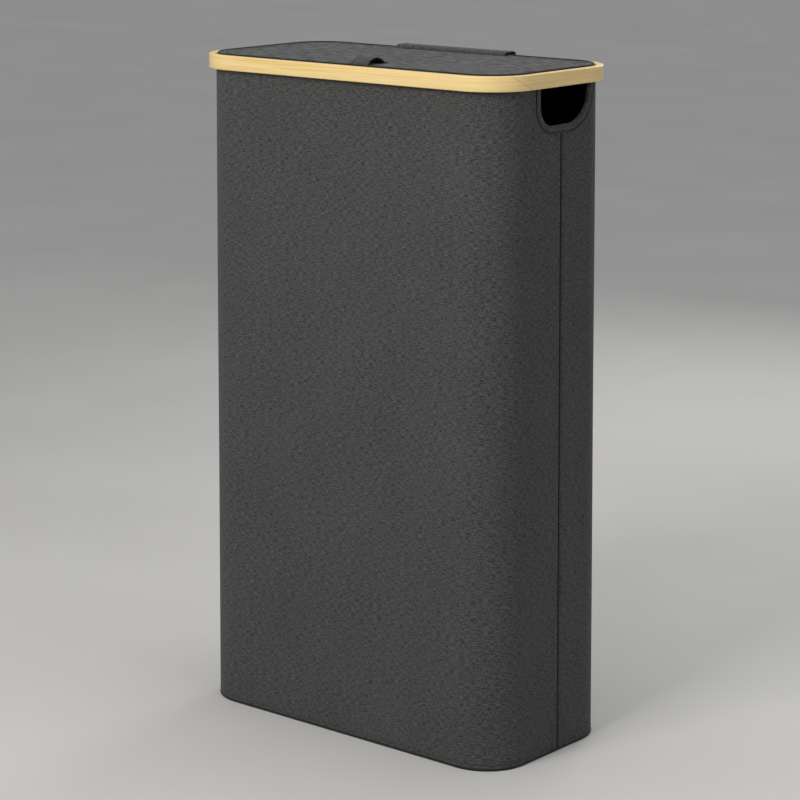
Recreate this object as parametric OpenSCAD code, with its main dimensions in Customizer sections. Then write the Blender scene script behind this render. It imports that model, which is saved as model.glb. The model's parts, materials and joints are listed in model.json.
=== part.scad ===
// Slim fabric laundry sorter with a bamboo rim, a hinged lid and two lift-out liner bags.
// Millimetres. The origin is the centre of the base on the floor, +X is the width, the front is -Y.

/* [Overall size] */
// Width over the bamboo rim
outer_w = 410; // [340:1:520]
// Depth over the bamboo rim
outer_d = 200; // [165:1:260]
// Height to the top of the rim
height = 700; // [480:1:850]
// Corner radius outside the rim
corner_r = 50; // [40:1:60]
// How far the foot of the walls lies inside the rim's outline
base_inset = 1.5; // [0.5:0.5:6]

/* [Bamboo rim] */
// Height of the bamboo band
rim_h = 15; // [14:0.5:24]
// Thickness of the bamboo band
rim_t = 7.5; // [6:0.5:10]

/* [Walls] */
// Outer fabric
fabric_t = 1.2; // [0.8:0.1:1.6]
// Stiffener board between the fabrics
board_t = 1.2; // [0.8:0.1:2]
// Lining fabric
lining_t = 0.8; // [0.5:0.1:1.2]
// Half width of the gap at a side seam
seam_gap = 0.4; // [0.2:0.1:1]
// Place of the side seams along the depth
seam_y = 8; // [-15:1:15]
// Width of the tape behind a side seam
seam_tape_w = 16; // [10:1:24]
// Thickness of the tape behind a side seam
seam_tape_t = 0.8; // [0.5:0.1:1.2]

/* [Hand cutouts] */
// Width of the opening
cutout_w = 80; // [66:1:92]
// Depth of the opening below the rim
cutout_depth = 38.5; // [32:0.5:50]
// Radius of its front lower corner
cutout_r = 20; // [12:1:30]
// Radius of its rear lower corner
cutout_rear_r = 36; // [24:1:38]
// Place of the openings along the depth
cutout_y = 14; // [-14:1:14]
// Width of the bound edge
binding_w = 7; // [4:0.5:9]
// How far the bound edge stands proud on each side
binding_proud = 0.6; // [0.3:0.1:1.2]

/* [Hoop and poles] */
// Thickness of the hoop that clamps the walls to the rim
hoop_t = 3; // [2:0.5:4]
// Depth of the recess that the lid drops into
lid_recess = 6; // [5:0.5:9]
// Diameter of a support pole
pole_d = 6; // [4:0.5:8]
// Radial clearance of a pole in its sockets and channel
pole_gap = 0.15; // [0.1:0.05:0.4]
// Wall of a pole socket
socket_t = 2.2; // [1.5:0.1:3]
// Depth of a pole socket
socket_depth = 16; // [10:1:25]
// Fabric of a pole channel
channel_t = 0.8; // [0.5:0.1:1.2]
// Diameter of the clamp screws
screw_d = 3; // [2.5:0.5:4]

/* [Base] */
// Height of the piping round the bottom edge
piping_h = 3; // [2:0.5:5]
// Width of the piping, measured inwards
piping_w = 4.5; // [3:0.5:6]
// Thickness of the fabric floor
floor_t = 2; // [1:0.5:3]
// Thickness of the loose base board
base_board_t = 4; // [2:0.5:6]
// Clearance round the loose base board
base_board_gap = 1.2; // [0.5:0.1:3]

/* [Lid] */
// Gap round the lid
lid_gap = 1.5; // [1:0.1:3]
// How far the lid stands above the rim
lid_proud = 0.5; // [0:0.5:3]
// Gap under the closed lid
rest_gap = 0.3; // [0.2:0.1:0.6]
// Thickness of the board inside the lid
lid_board_t = 3; // [2:0.5:4]
// Fabric on the lid
lid_fabric_t = 1.2; // [0.8:0.1:1.4]
// Lining under the lid
lid_lining_t = 1; // [0.6:0.1:1]
// Width of the finger loop
loop_w = 22; // [18:1:36]
// Length of the finger loop between its sewn ends
loop_span = 26; // [24:1:50]
// Rise of the finger loop above the lid
loop_rise = 7; // [6.5:0.5:10]
// Thickness of the loop's strap
loop_t = 1.2; // [1:0.1:1.6]
// Length of each sewn end of the loop
loop_end = 5; // [4:0.5:8]
// Place of the loop along the width
loop_x = 16; // [-20:1:20]
// Distance from the lid's front edge to the loop
loop_from_front = 2; // [1:0.5:8]

/* [Fabric hinge] */
// Width of the hinge flap
flap_w = 146; // [100:2:200]
// Place of the flap along the width
flap_x = -4; // [-20:1:20]
// Thickness of the flap
flap_t = 1.2; // [0.8:0.1:1.6]
// Rise of the flap above the lid
flap_rise = 3.5; // [3.5:0.5:7]
// Distance from the lid's rear edge to the fold of the flap
flap_reach = 9; // [7:0.5:14]
// Length of the tail below the rim
flap_drop = 46; // [35:1:70]
// Thickness of the hook strip that holds the tail
strip_t = 1.6; // [1:0.1:2.2]
// Height of the hook strip
strip_h = 25; // [15:1:30]

/* [Liner bags] */
// Distance from the rim's top to the top of the bags
bag_drop = 90; // [80:1:140]
// Fabric of a bag
bag_t = 1.2; // [0.8:0.1:1.6]
// Gap between a bag and the lining
bag_gap = 5.2; // [5:0.1:8]
// Half of the gap between the two bags
bag_split = 2.6; // [2:0.1:5]
// Height of the stiff band round a bag's mouth
band_h = 25; // [18:1:35]
// Thickness of the band
band_t = 1.2; // [0.8:0.1:1.4]
// Width of a hook patch and its tab
tab_w = 30; // [20:1:45]
// Height of a tab
tab_h = 18; // [12:1:18]
// Thickness of a hook patch
patch_t = 0.8; // [0.5:0.1:1.2]
// Width over a bag handle
handle_w = 90; // [70:2:110]
// Length of a bag handle
handle_len = 62; // [50:1:70]
// Width of the webbing of a handle
web_w = 18; // [12:1:22]
// Thickness of the webbing
web_t = 1.6; // [1.2:0.1:2]
// Distance from the bag's wall to the line that a handle swings on
handle_off = 4.2; // [4:0.1:6]

/* [Hidden] */
$fn = 64;
eps = 0.01;
far = 2 * (outer_w + outer_d + height);

// Corners: all outlines share these arc centres.
centre_x = outer_w / 2 - corner_r;
centre_y = outer_d / 2 - corner_r;
arc_steps = 14;

// Walls
wall_t = fabric_t + board_t + lining_t;
neck_z = height - rim_h;
wall_top = height - lid_recess;
board_edge = 8;
board_drop = 5;

// Hoop and screws
screw_reach = rim_t * 0.55;
screw_head_r = screw_d;
screw_head_h = 1.4;
screw_z = (neck_z + wall_top) / 2;
screw_margin = 35;

// Poles: their axes follow the inside of the corners.
pole_r = pole_d / 2;
socket_r = pole_r + pole_gap + socket_t;
channel_r = pole_r + pole_gap + channel_t;
pole_wall = channel_r + 0.05;
pole_base_r = corner_r - base_inset - wall_t - pole_wall;
pole_neck_r = corner_r - rim_t - wall_t - pole_wall;
pole_tilt = atan2(pole_base_r - pole_neck_r, neck_z);
base_top = floor_t + base_board_t;
cup_floor = 2;
pole_bottom = base_top + cup_floor + 0.2;
pole_top = neck_z - 4;
cup_h = cup_floor + 10;
channel_gap = 4;
channel_bottom = base_top + cup_h + channel_gap;
channel_top = neck_z - socket_depth - channel_gap;

// Cutouts
cutout_bottom = neck_z - cutout_depth;

// Lid
lid_inset = rim_t + lid_gap;
lid_top = height + lid_proud;
lid_bottom = wall_top + rest_gap;
lid_board_z = lid_bottom + lid_lining_t;
padding_z = lid_board_z + lid_board_t;
cover_z = lid_top - lid_fabric_t;
lid_edge_y = outer_d / 2 - lid_inset;

// Finger loop
loop_inner_rise = loop_rise - loop_t;
loop_inner_r = (loop_span * loop_span / 4 + loop_inner_rise * loop_inner_rise) / (2 * loop_inner_rise);
loop_mid_y = -lid_edge_y + loop_from_front + loop_end + loop_span / 2;

// Fabric hinge: the lid turns on the rim's rear top edge.
hinge_y = outer_d / 2 + 0.6;
hinge_z = height + 0.5;
flap_back = outer_d / 2 + flap_t + 0.2;
flap_front = lid_edge_y - flap_reach;
flap_top = lid_top + flap_rise;
flap_round = min(6, flap_rise + lid_proud);
flap_end_z = height - rim_h / 2;
fold_gap = 0.15;
fold_y = flap_back - flap_round;
foot_y = flap_front + flap_t + flap_round / 4;
tail_gap = 0.3;
tail_bottom = neck_z - flap_drop;
tail_bend = neck_z - 12;

// Liner bags
bag_top = height - bag_drop;
bag_inset = wall_inset(bag_top) + wall_t + bag_gap;
bag_half_d = outer_d / 2 - bag_inset;
bag_out_x = outer_w / 2 - bag_inset;
bag_r = corner_r - bag_inset + 15;
bag_inner_r = 15;
bag_mid_x = (bag_split + bag_out_x) / 2;
handle_y = bag_half_d - bag_t - handle_off;
handle_z = bag_top - 4;
handle_r = 26;
tab_top = bag_top - 3;
side_tab_y = seam_y - (seam_tape_w + tab_w) / 2 - 4;

// Inset of the walls' outer face from the rim's outline at a height
function wall_inset(z) = z >= neck_z ? rim_t : base_inset + (rim_t - base_inset) * z / neck_z;

// Points of the outline at an inset from the rim's outline
function outline(inset) = [for (q = [0:3]) for (s = [0:arc_steps])
    let (a = 90 * (q + s / arc_steps), sx = q == 0 || q == 3 ? 1 : -1, sy = q < 2 ? 1 : -1)
    [sx * centre_x + (corner_r - inset) * cos(a), sy * centre_y + (corner_r - inset) * sin(a)]];

// Flat outline with true arcs at an inset from the rim's outline
module plan(inset) {
    square([outer_w - 2 * inset, 2 * centre_y], center = true);
    square([2 * centre_x, outer_d - 2 * inset], center = true);
    for (sx = [-1, 1], sy = [-1, 1])
        translate([sx * centre_x, sy * centre_y]) circle(corner_r - inset);
}

// Flat plate between two heights
module plate(z0, z1, inset) {
    translate([0, 0, z0]) linear_extrude(z1 - z0) plan(inset);
}

// Upright ring between two heights and two insets
module ring(z0, z1, inset, inner_inset) {
    translate([0, 0, z0]) linear_extrude(z1 - z0) difference() {
        plan(inset);
        plan(inner_inset);
    }
}

// Solid through a list of [height, inset] levels
module loft(levels) {
    n = 4 * (arc_steps + 1);
    last = (len(levels) - 1) * n;
    polyhedron(
        points = [for (l = levels) for (p = outline(l[1])) [p[0], p[1], l[0]]],
        faces = concat(
            [[for (i = [0:n - 1]) i]],
            [[for (i = [n - 1:-1:0]) last + i]],
            [for (k = [0:len(levels) - 2]) for (i = [0:n - 1])
                [k * n + i, (k + 1) * n + i, (k + 1) * n + (i + 1) % n, k * n + (i + 1) % n]]));
}

// Everything inside the walls' outer face, moved in by depth
module wall_body(z0, z1, depth) {
    loft(concat([[z0, wall_inset(z0) + depth]],
                z0 < neck_z && z1 > neck_z ? [[neck_z, rim_t + depth]] : [],
                [[z1, wall_inset(z1) + depth]]));
}

// One layer of the walls, between two depths from the outer face
module wall_layer(z0, z1, depth0, depth1) {
    difference() {
        wall_body(z0, z1, depth0);
        wall_body(z0 - 1, z1 + 1, depth1);
    }
}

// Profile of a hand cutout, grown by a margin; it runs up to a given height
module cutout_profile(grow, top) {
    half = cutout_w / 2 + grow;
    front_r = cutout_r + grow;
    rear_r = max(min(cutout_rear_r, cutout_depth - 1), cutout_r + 1) + grow;
    low = cutout_bottom - grow;
    translate([-half, low + rear_r]) square([2 * half, top - low - rear_r]);
    translate([-half, low + front_r]) square([2 * half - rear_r, rear_r - front_r + eps]);
    translate([-half + front_r, low]) square([2 * half - front_r - rear_r, front_r + eps]);
    translate([-half + front_r, low + front_r]) circle(front_r);
    translate([half - rear_r, low + rear_r]) circle(rear_r);
}

// The cutout's shape run through the wall of one side
module cutout_bar(side, grow, top) {
    translate([side * (outer_w / 2 - 20), cutout_y, 0]) rotate([90, 0, 90])
        translate([0, 0, -22]) linear_extrude(44) cutout_profile(grow, top);
}

module both_cutouts(grow) {
    for (side = [-1, 1]) cutout_bar(side, grow, neck_z);
}

// Axes of the clamp screws, pointing outwards from the hoop's inner face
module at_screws() {
    for (s = [-1, 1]) {
        for (x = [-1, 0, 1])
            translate([x * (centre_x - screw_margin), s * (outer_d / 2 - rim_t - wall_t - hoop_t), screw_z])
                rotate([-90 * s, 0, 0]) children();
        translate([s * (outer_w / 2 - rim_t - wall_t - hoop_t), 0, screw_z])
            rotate([0, 90 * s, 0]) children();
    }
}

module screw_bores() {
    at_screws() translate([0, 0, -1]) cylinder(d = screw_d, h = 1 + hoop_t + wall_t + screw_reach);
}

// Half of space in front of or behind the side seams
module seam_side(side) {
    translate([-far / 2, side > 0 ? seam_y + seam_gap : seam_y - seam_gap - far, -far / 2])
        cube([far, far, far]);
}

module bamboo_rim() {
    color([0.93, 0.80, 0.55]) difference() {
        ring(neck_z, height, 0, rim_t);
        screw_bores();
    }
}

module clamp_hoop() {
    hoop_in = rim_t + wall_t;
    color([0.16, 0.16, 0.17]) difference() {
        union() {
            difference() {
                wall_body(neck_z, wall_top, wall_t);
                wall_body(neck_z - 1, wall_top + 1, wall_t + hoop_t);
            }
            intersection() {
                at_poles() translate([0, 0, neck_z - socket_depth]) cylinder(r = socket_r, h = socket_depth + 3);
                wall_body(neck_z - 2 * socket_depth, neck_z + 1, wall_t);
            }
        }
        at_poles() cylinder(r = pole_r + pole_gap, h = pole_top + 0.3);
        screw_bores();
    }
}

module hoop_screws() {
    color([0.75, 0.76, 0.78]) at_screws() {
        cylinder(d = screw_d, h = hoop_t + wall_t + screw_reach);
        translate([0, 0, -screw_head_h]) cylinder(r1 = screw_head_r * 0.8, r2 = screw_head_r, h = screw_head_h);
    }
}

// Outer fabric of the front or the back, with half of each side
module outer_panel(side) {
    color([0.22, 0.22, 0.23]) difference() {
        intersection() {
            wall_layer(piping_h, wall_top, 0, fabric_t);
            seam_side(side);
        }
        both_cutouts(binding_w);
        screw_bores();
    }
}

module stiffener(side) {
    color([0.55, 0.53, 0.50]) intersection() {
        wall_layer(piping_h + board_edge, neck_z - board_drop, fabric_t, fabric_t + board_t);
        translate([-centre_x, side > 0 ? centre_y : -centre_y - far, 0]) cube([2 * centre_x, far, height]);
    }
}

module body_lining() {
    color([0.14, 0.14, 0.15]) difference() {
        wall_layer(piping_h, wall_top, fabric_t + board_t, wall_t);
        both_cutouts(binding_w);
        screw_bores();
    }
}

module seam_tape(side) {
    color([0.10, 0.10, 0.11]) intersection() {
        wall_layer(base_top + 1, cutout_bottom - binding_w - 2, wall_t, wall_t + seam_tape_t);
        translate([side > 0 ? 0 : -far, seam_y - seam_tape_w / 2, 0]) cube([far, seam_tape_w, height]);
    }
}

module cutout_binding(side) {
    color([0.18, 0.18, 0.19]) intersection() {
        wall_layer(cutout_bottom - 2 * binding_w, neck_z, -binding_proud, wall_t + binding_proud);
        difference() {
            cutout_bar(side, binding_w, neck_z);
            cutout_bar(side, 0, neck_z + 1);
        }
    }
}

// Frame on the axis of one pole, +Z up along it
module at_pole(sx, sy) {
    translate([sx * centre_x, sy * centre_y, 0]) rotate([0, 0, atan2(sy, sx)])
        translate([pole_base_r, 0, 0]) rotate([0, -pole_tilt, 0]) children();
}

module at_poles() {
    for (sx = [-1, 1], sy = [-1, 1]) at_pole(sx, sy) children();
}

module pole(sx, sy) {
    color([0.80, 0.81, 0.82]) at_pole(sx, sy) translate([0, 0, pole_bottom])
        cylinder(r = pole_r, h = pole_top - pole_bottom);
}

module pole_channel(sx, sy) {
    color([0.13, 0.13, 0.14]) at_pole(sx, sy) translate([0, 0, channel_bottom])
        difference() {
            cylinder(r = channel_r, h = channel_top - channel_bottom);
            translate([0, 0, -1]) cylinder(r = pole_r + pole_gap, h = channel_top - channel_bottom + 2);
        }
}

module pole_foot_cups() {
    color([0.16, 0.16, 0.17]) difference() {
        intersection() {
            at_poles() cylinder(r = socket_r, h = base_top + cup_h);
            wall_body(base_top, base_top + cup_h, wall_t + 0.2);
        }
        at_poles() translate([0, 0, base_top + cup_floor]) cylinder(r = pole_r + pole_gap, h = 2 * cup_h);
    }
}

module base_piping() {
    color([0.08, 0.08, 0.09]) ring(0, piping_h, base_inset - 0.4, base_inset + piping_w);
}

module base_panel() {
    color([0.16, 0.16, 0.17]) plate(0, floor_t, base_inset + piping_w);
}

module base_board() {
    color([0.15, 0.15, 0.16]) union() {
        plate(max(piping_h, floor_t), base_top, base_inset + wall_t + base_board_gap);
        plate(floor_t, base_top, base_inset + max(wall_t, piping_w) + base_board_gap);
    }
}

// Plan of the right bag at an inset from its own outer face
module bag_plan(inset) {
    for (s = [-1, 1]) {
        translate([bag_split + bag_inner_r, s * (bag_half_d - bag_inner_r)]) circle(bag_inner_r - inset);
        translate([bag_out_x - bag_r, s * (bag_half_d - bag_r)]) circle(bag_r - inset);
    }
    translate([bag_split + bag_inner_r, -(bag_half_d - inset)])
        square([bag_out_x - bag_r - bag_split - bag_inner_r, 2 * (bag_half_d - inset)]);
    translate([bag_split + inset, -(bag_half_d - bag_inner_r)])
        square([bag_inner_r - inset + eps, 2 * (bag_half_d - bag_inner_r)]);
    translate([bag_out_x - bag_r - eps, -(bag_half_d - bag_r)])
        square([bag_r - inset + eps, 2 * (bag_half_d - bag_r)]);
}

module to_side(side) {
    mirror([side > 0 ? 0 : 1, 0, 0]) children();
}

// The bag's wall is a tube of cloth, and its floor is a panel sewn into the tube's lower end.
module liner_bag(side) {
    color([0.30, 0.30, 0.31]) to_side(side) translate([0, 0, base_top]) linear_extrude(bag_top - base_top)
        difference() {
            bag_plan(0);
            bag_plan(bag_t);
        }
}

module bag_floor(side) {
    color([0.27, 0.27, 0.28]) to_side(side) translate([0, 0, base_top]) linear_extrude(bag_t) bag_plan(bag_t);
}

module bag_band(side) {
    color([0.12, 0.12, 0.13]) to_side(side) translate([0, 0, bag_top - band_h]) linear_extrude(band_h)
        difference() {
            bag_plan(-band_t);
            bag_plan(0);
        }
    color([0.12, 0.12, 0.13]) to_side(side) handle_anchors();
}

// Short webbing ends that hold the handles to the inside of a bag's mouth
module handle_anchors() {
    anchor_y = bag_half_d - bag_t;
    for (sy = [-1, 1], s = [-1, 1])
        translate([bag_mid_x + s * (handle_w - web_w) / 2 - web_w / 2,
                   sy > 0 ? anchor_y - handle_off + web_t : -anchor_y, handle_z - 5])
            cube([web_w, handle_off - web_t, 9]);
}

// The spots round a bag where a tab holds it to the lining
module at_tabs() {
    for (sy = [-1, 1]) translate([bag_mid_x, sy * outer_d / 2, 0]) rotate([0, 0, 90 * sy]) children();
    translate([outer_w / 2, side_tab_y, 0]) children();
}

module tab_block(top, tall) {
    at_tabs() translate([-30, -tab_w / 2, top - tall]) cube([40, tab_w, tall]);
}

module bag_tabs(side) {
    color([0.09, 0.09, 0.10]) to_side(side) difference() {
        intersection() {
            tab_block(tab_top, tab_h);
            wall_body(bag_top - 2 * band_h, bag_top + 1, wall_t + patch_t);
        }
        translate([0, 0, bag_top - 2 * band_h]) linear_extrude(3 * band_h) bag_plan(-band_t);
    }
}

module wall_patches() {
    color([0.06, 0.06, 0.07]) intersection() {
        wall_layer(bag_top - 2 * band_h, bag_top + band_h, wall_t, wall_t + patch_t);
        for (side = [-1, 1]) to_side(side) tab_block(tab_top + 4, tab_h + 8);
    }
}

// One webbing handle, hanging inside the bag from its swing line
module bag_handle(side, sy) {
    outer_half = handle_w / 2;
    inner_half = outer_half - web_w;
    color([0.10, 0.10, 0.11]) to_side(side) translate([bag_mid_x, sy * handle_y + web_t / 2, handle_z])
        rotate([90, 0, 0]) linear_extrude(web_t) difference() {
            union() {
                translate([-outer_half, -handle_len + handle_r]) square([2 * outer_half, handle_len - handle_r]);
                translate([-outer_half + handle_r, -handle_len]) square([2 * (outer_half - handle_r), handle_r + eps]);
                for (s = [-1, 1]) translate([s * (outer_half - handle_r), -handle_len + handle_r]) circle(handle_r);
            }
            translate([-inner_half, -handle_len + handle_r]) square([2 * inner_half, handle_len]);
            translate([-inner_half + handle_r - web_w, -handle_len + web_w])
                square([2 * (inner_half - handle_r + web_w), handle_r - web_w + eps]);
            for (s = [-1, 1])
                translate([s * (outer_half - handle_r), -handle_len + handle_r]) circle(handle_r - web_w);
        }
}

module lid_board() {
    color([0.62, 0.55, 0.44]) plate(lid_board_z, padding_z, lid_inset + lid_fabric_t);
}

module lid_padding() {
    color([0.80, 0.80, 0.78]) plate(padding_z, cover_z, lid_inset + lid_fabric_t);
}

module lid_cover() {
    color([0.24, 0.24, 0.25]) difference() {
        plate(lid_board_z, lid_top, lid_inset);
        plate(lid_board_z - 1, cover_z, lid_inset + lid_fabric_t);
    }
}

module lid_lining() {
    color([0.14, 0.14, 0.15]) plate(lid_bottom, lid_board_z, lid_inset + lid_lining_t);
}

module lid_piping() {
    color([0.08, 0.08, 0.09]) ring(lid_bottom, lid_board_z, lid_inset, lid_inset + lid_lining_t);
}

module finger_loop() {
    r_in = loop_inner_r;
    drop = r_in - loop_inner_rise;
    color([0.20, 0.20, 0.21]) translate([loop_x - loop_w / 2, loop_mid_y, lid_top]) rotate([90, 0, 90])
        linear_extrude(loop_w) {
            difference() {
                translate([0, -drop]) circle(r_in + loop_t);
                translate([0, -drop]) circle(r_in);
                translate([-far / 2, -far]) square([far, far]);
            }
            for (s = [-1, 1])
                translate([s * (loop_span / 2 + loop_end / 2 + 0.5) - loop_end / 2, 0]) square([loop_end, loop_t]);
        }
}

// Rounded box in the plane of depth and height, grown inwards by inset
module flap_profile(inset) {
    r = flap_round - inset;
    y0 = flap_front + inset;
    y1 = flap_back - inset;
    z1 = flap_top - inset;
    translate([y0, neck_z]) square([y1 - y0, z1 - r - neck_z]);
    translate([y0 + r, neck_z]) square([y1 - y0 - 2 * r, z1 - neck_z]);
    for (y = [y0 + r, y1 - r]) translate([y, z1 - r]) circle(r);
}

// Extrudes a profile of depth and height along the flap's width
module across_flap() {
    translate([flap_x - flap_w / 2, 0, 0]) rotate([90, 0, 90]) linear_extrude(flap_w) children();
}

// The flap's arch over the rim; the fold splits it in a half towards the lid and a half towards the tail
module flap_arch(side) {
    color([0.17, 0.17, 0.18]) across_flap() difference() {
        flap_profile(0);
        flap_profile(flap_t);
        translate([0, neck_z - 1]) square([hinge_y - 1, lid_top - neck_z + 1]);
        translate([0, neck_z - 1]) square([far, flap_end_z - neck_z + 1]);
        translate([side > 0 ? 0 : fold_y - fold_gap, neck_z - 1])
            square([side > 0 ? fold_y + fold_gap : far, height]);
    }
}

module flap_foot() {
    color([0.17, 0.17, 0.18]) across_flap()
        translate([foot_y, lid_top]) square([lid_edge_y - 1 - foot_y, flap_t]);
}

function back_y(z) = outer_d / 2 - wall_inset(z);

module flap_tail() {
    gap = strip_t;
    rim_y = outer_d / 2;
    color([0.17, 0.17, 0.18]) across_flap() polygon([
        [back_y(tail_bottom) + gap, tail_bottom],
        [back_y(tail_bend) + gap, tail_bend],
        [rim_y + 0.1, neck_z - 1],
        [rim_y + 0.1, flap_end_z - tail_gap],
        [rim_y + 0.1 + flap_t, flap_end_z - tail_gap],
        [rim_y + 0.1 + flap_t, neck_z - 1.4],
        [back_y(tail_bend) + gap + flap_t, tail_bend - 0.6],
        [back_y(tail_bottom) + gap + flap_t, tail_bottom]]);
}

module flap_hook_strip() {
    z0 = tail_bottom + 4;
    z1 = min(z0 + strip_h, tail_bend - 2);
    color([0.06, 0.06, 0.07]) across_flap() polygon([
        [back_y(z0), z0],
        [back_y(z1), z1],
        [back_y(z1) + strip_t, z1],
        [back_y(z0) + strip_t, z0]]);
}

bamboo_rim();
clamp_hoop();
hoop_screws();
outer_panel(-1);  // front_panel
outer_panel(1);  // rear_panel
stiffener(-1);  // front_board
stiffener(1);  // rear_board
body_lining();
seam_tape(1);  // right_seam_tape
seam_tape(-1);  // left_seam_tape
cutout_binding(1);  // right_cutout_binding
cutout_binding(-1);  // left_cutout_binding
pole(1, -1);  // front_right_pole
pole(-1, -1);  // front_left_pole
pole(1, 1);  // rear_right_pole
pole(-1, 1);  // rear_left_pole
pole_channel(1, -1);  // front_right_channel
pole_channel(-1, -1);  // front_left_channel
pole_channel(1, 1);  // rear_right_channel
pole_channel(-1, 1);  // rear_left_channel
pole_foot_cups();
base_piping();
base_panel();
base_board();
liner_bag(1);  // right_liner_bag
liner_bag(-1);  // left_liner_bag
bag_floor(1);  // right_bag_floor
bag_floor(-1);  // left_bag_floor
bag_band(1);  // right_bag_band
bag_band(-1);  // left_bag_band
bag_tabs(1);  // right_bag_tabs
bag_tabs(-1);  // left_bag_tabs
wall_patches();
bag_handle(1, -1);  // right_front_handle
bag_handle(1, 1);  // right_rear_handle
bag_handle(-1, -1);  // left_front_handle
bag_handle(-1, 1);  // left_rear_handle
lid_board();
lid_padding();
lid_cover();
lid_lining();
lid_piping();
finger_loop();
flap_arch(-1);  // flap_front_fold
flap_arch(1);  // flap_rear_fold
flap_foot();
flap_tail();
flap_hook_strip();
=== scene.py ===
# %% [markdown]
# # A slim laundry sorter with a bamboo rim
# This lesson dresses a finished mechanical model. The model gives the place of every piece, in metres,
# with the floor at height 0 and the front facing -Y. First it is loaded, and nothing in it is moved.

# %% Load the fixed model
import json
import math

import bmesh
import bpy
import numpy as np
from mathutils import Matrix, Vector

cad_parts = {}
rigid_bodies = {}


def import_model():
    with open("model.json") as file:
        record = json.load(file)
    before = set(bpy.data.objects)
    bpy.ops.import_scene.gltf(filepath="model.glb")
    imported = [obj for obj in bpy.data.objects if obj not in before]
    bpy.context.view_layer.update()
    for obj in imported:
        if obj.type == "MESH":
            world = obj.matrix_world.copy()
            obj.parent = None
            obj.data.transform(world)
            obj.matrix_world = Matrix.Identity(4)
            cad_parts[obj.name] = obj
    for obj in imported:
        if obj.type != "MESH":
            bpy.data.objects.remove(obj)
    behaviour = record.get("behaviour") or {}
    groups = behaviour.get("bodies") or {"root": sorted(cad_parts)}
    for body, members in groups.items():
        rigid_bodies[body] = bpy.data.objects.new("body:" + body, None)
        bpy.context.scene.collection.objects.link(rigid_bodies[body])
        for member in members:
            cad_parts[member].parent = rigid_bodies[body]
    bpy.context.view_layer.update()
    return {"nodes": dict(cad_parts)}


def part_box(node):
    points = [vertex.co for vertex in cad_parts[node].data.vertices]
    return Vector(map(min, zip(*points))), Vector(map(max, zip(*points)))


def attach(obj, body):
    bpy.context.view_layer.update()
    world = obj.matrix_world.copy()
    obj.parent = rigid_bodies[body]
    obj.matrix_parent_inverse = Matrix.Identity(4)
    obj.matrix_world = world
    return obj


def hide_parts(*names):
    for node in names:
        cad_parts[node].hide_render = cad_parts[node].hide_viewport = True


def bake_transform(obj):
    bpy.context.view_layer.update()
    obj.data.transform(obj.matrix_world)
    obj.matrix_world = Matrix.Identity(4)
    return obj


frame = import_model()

nodes = frame["nodes"]
print("nodes:", len(nodes))

# %% [markdown]
# ## Sizes that every piece shares
# The plan of the sorter is a rectangle with round corners. All its outlines share the same four corner
# centres, so a point of any outline is a point of the small core rectangle plus an outward arrow.
# That one idea serves the rim, the walls, the lid and the base alike.

# %% Shared sizes
MM = 0.001
rim_low, rim_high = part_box("bamboo_rim")
lid_low, lid_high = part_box("lid_cover")
corner_r = 50 * MM
core_x = rim_high.x - corner_r
core_y = rim_high.y - corner_r
rim_t, rim_h = 7.5 * MM, rim_high.z - rim_low.z
neck_z, rim_top = rim_low.z, rim_high.z
wall_low, wall_top = 3 * MM, 694 * MM
fabric_t, board_t, lining_t = 1.2 * MM, 1.2 * MM, 0.8 * MM
wall_t = fabric_t + board_t + lining_t
base_inset = 1.5 * MM
seam_y, seam_gap = 8 * MM, 1.0 * MM
cutout_y, cutout_half = 14 * MM, 40 * MM
cutout_front_r, cutout_rear_r = 20 * MM, 36 * MM
cutout_low = neck_z - 38.5 * MM
binding_w, binding_proud = 7 * MM, 0.6 * MM
sides = {"right": 1, "left": -1}
print("core", round(core_x, 4), round(core_y, 4), "rim", round(neck_z, 4), round(rim_top, 4))


def wall_inset(z):
    """How far the outer face of the walls lies inside the rim's outline at a height."""
    return np.where(z >= neck_z, rim_t, base_inset + (rim_t - base_inset) * np.minimum(z, neck_z) / neck_z)


def wall_place(y, z, depth=0.0):
    """The x of a side wall at a depth under its outer face, and the way the wall looks there."""
    y = np.asarray(y, float)
    r = corner_r - wall_inset(np.asarray(z, float)) - depth
    over = np.sign(y) * np.maximum(0, np.abs(y) - core_y)
    across = np.sqrt(r ** 2 - over ** 2)
    return core_x + across, np.column_stack([np.atleast_1d(across / r), np.atleast_1d(over / r)])


def plan_stations(corners, step=8 * MM, turn=16):
    """Core points and outward arrows along legs: ('line', from, to, arrow) or ('arc', centre, from, to)."""
    core, arrow = [], []
    for leg in corners:
        if leg[0] == "line":
            _, a, b, out = leg
            n = max(1, int(round(math.dist(a, b) / step)))
            for k in range(n):
                t = k / n
                core.append((a[0] + (b[0] - a[0]) * t, a[1] + (b[1] - a[1]) * t))
                arrow.append(out)
        else:
            _, c, a0, a1 = leg
            for k in range(turn):
                a = math.radians(a0 + (a1 - a0) * k / turn)
                core.append(c)
                arrow.append((math.cos(a), math.sin(a)))
    return np.array(core, float), np.array(arrow, float)


def round_loop(x=core_x, y=core_y, step=8 * MM, turn=16, start_x=6 * MM):
    """The whole outline, counterclockwise from above, from the middle of the back."""
    legs = [("line", (start_x, y), (-x, y), (0, 1)), ("arc", (-x, y), 90, 180),
            ("line", (-x, y), (-x, -y), (-1, 0)), ("arc", (-x, -y), 180, 270),
            ("line", (-x, -y), (x, -y), (0, -1)), ("arc", (x, -y), 270, 360),
            ("line", (x, -y), (x, y), (1, 0)), ("arc", (x, y), 0, 90),
            ("line", (x, y), (start_x, y), (0, 1))]
    return plan_stations(legs, step, turn)


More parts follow.
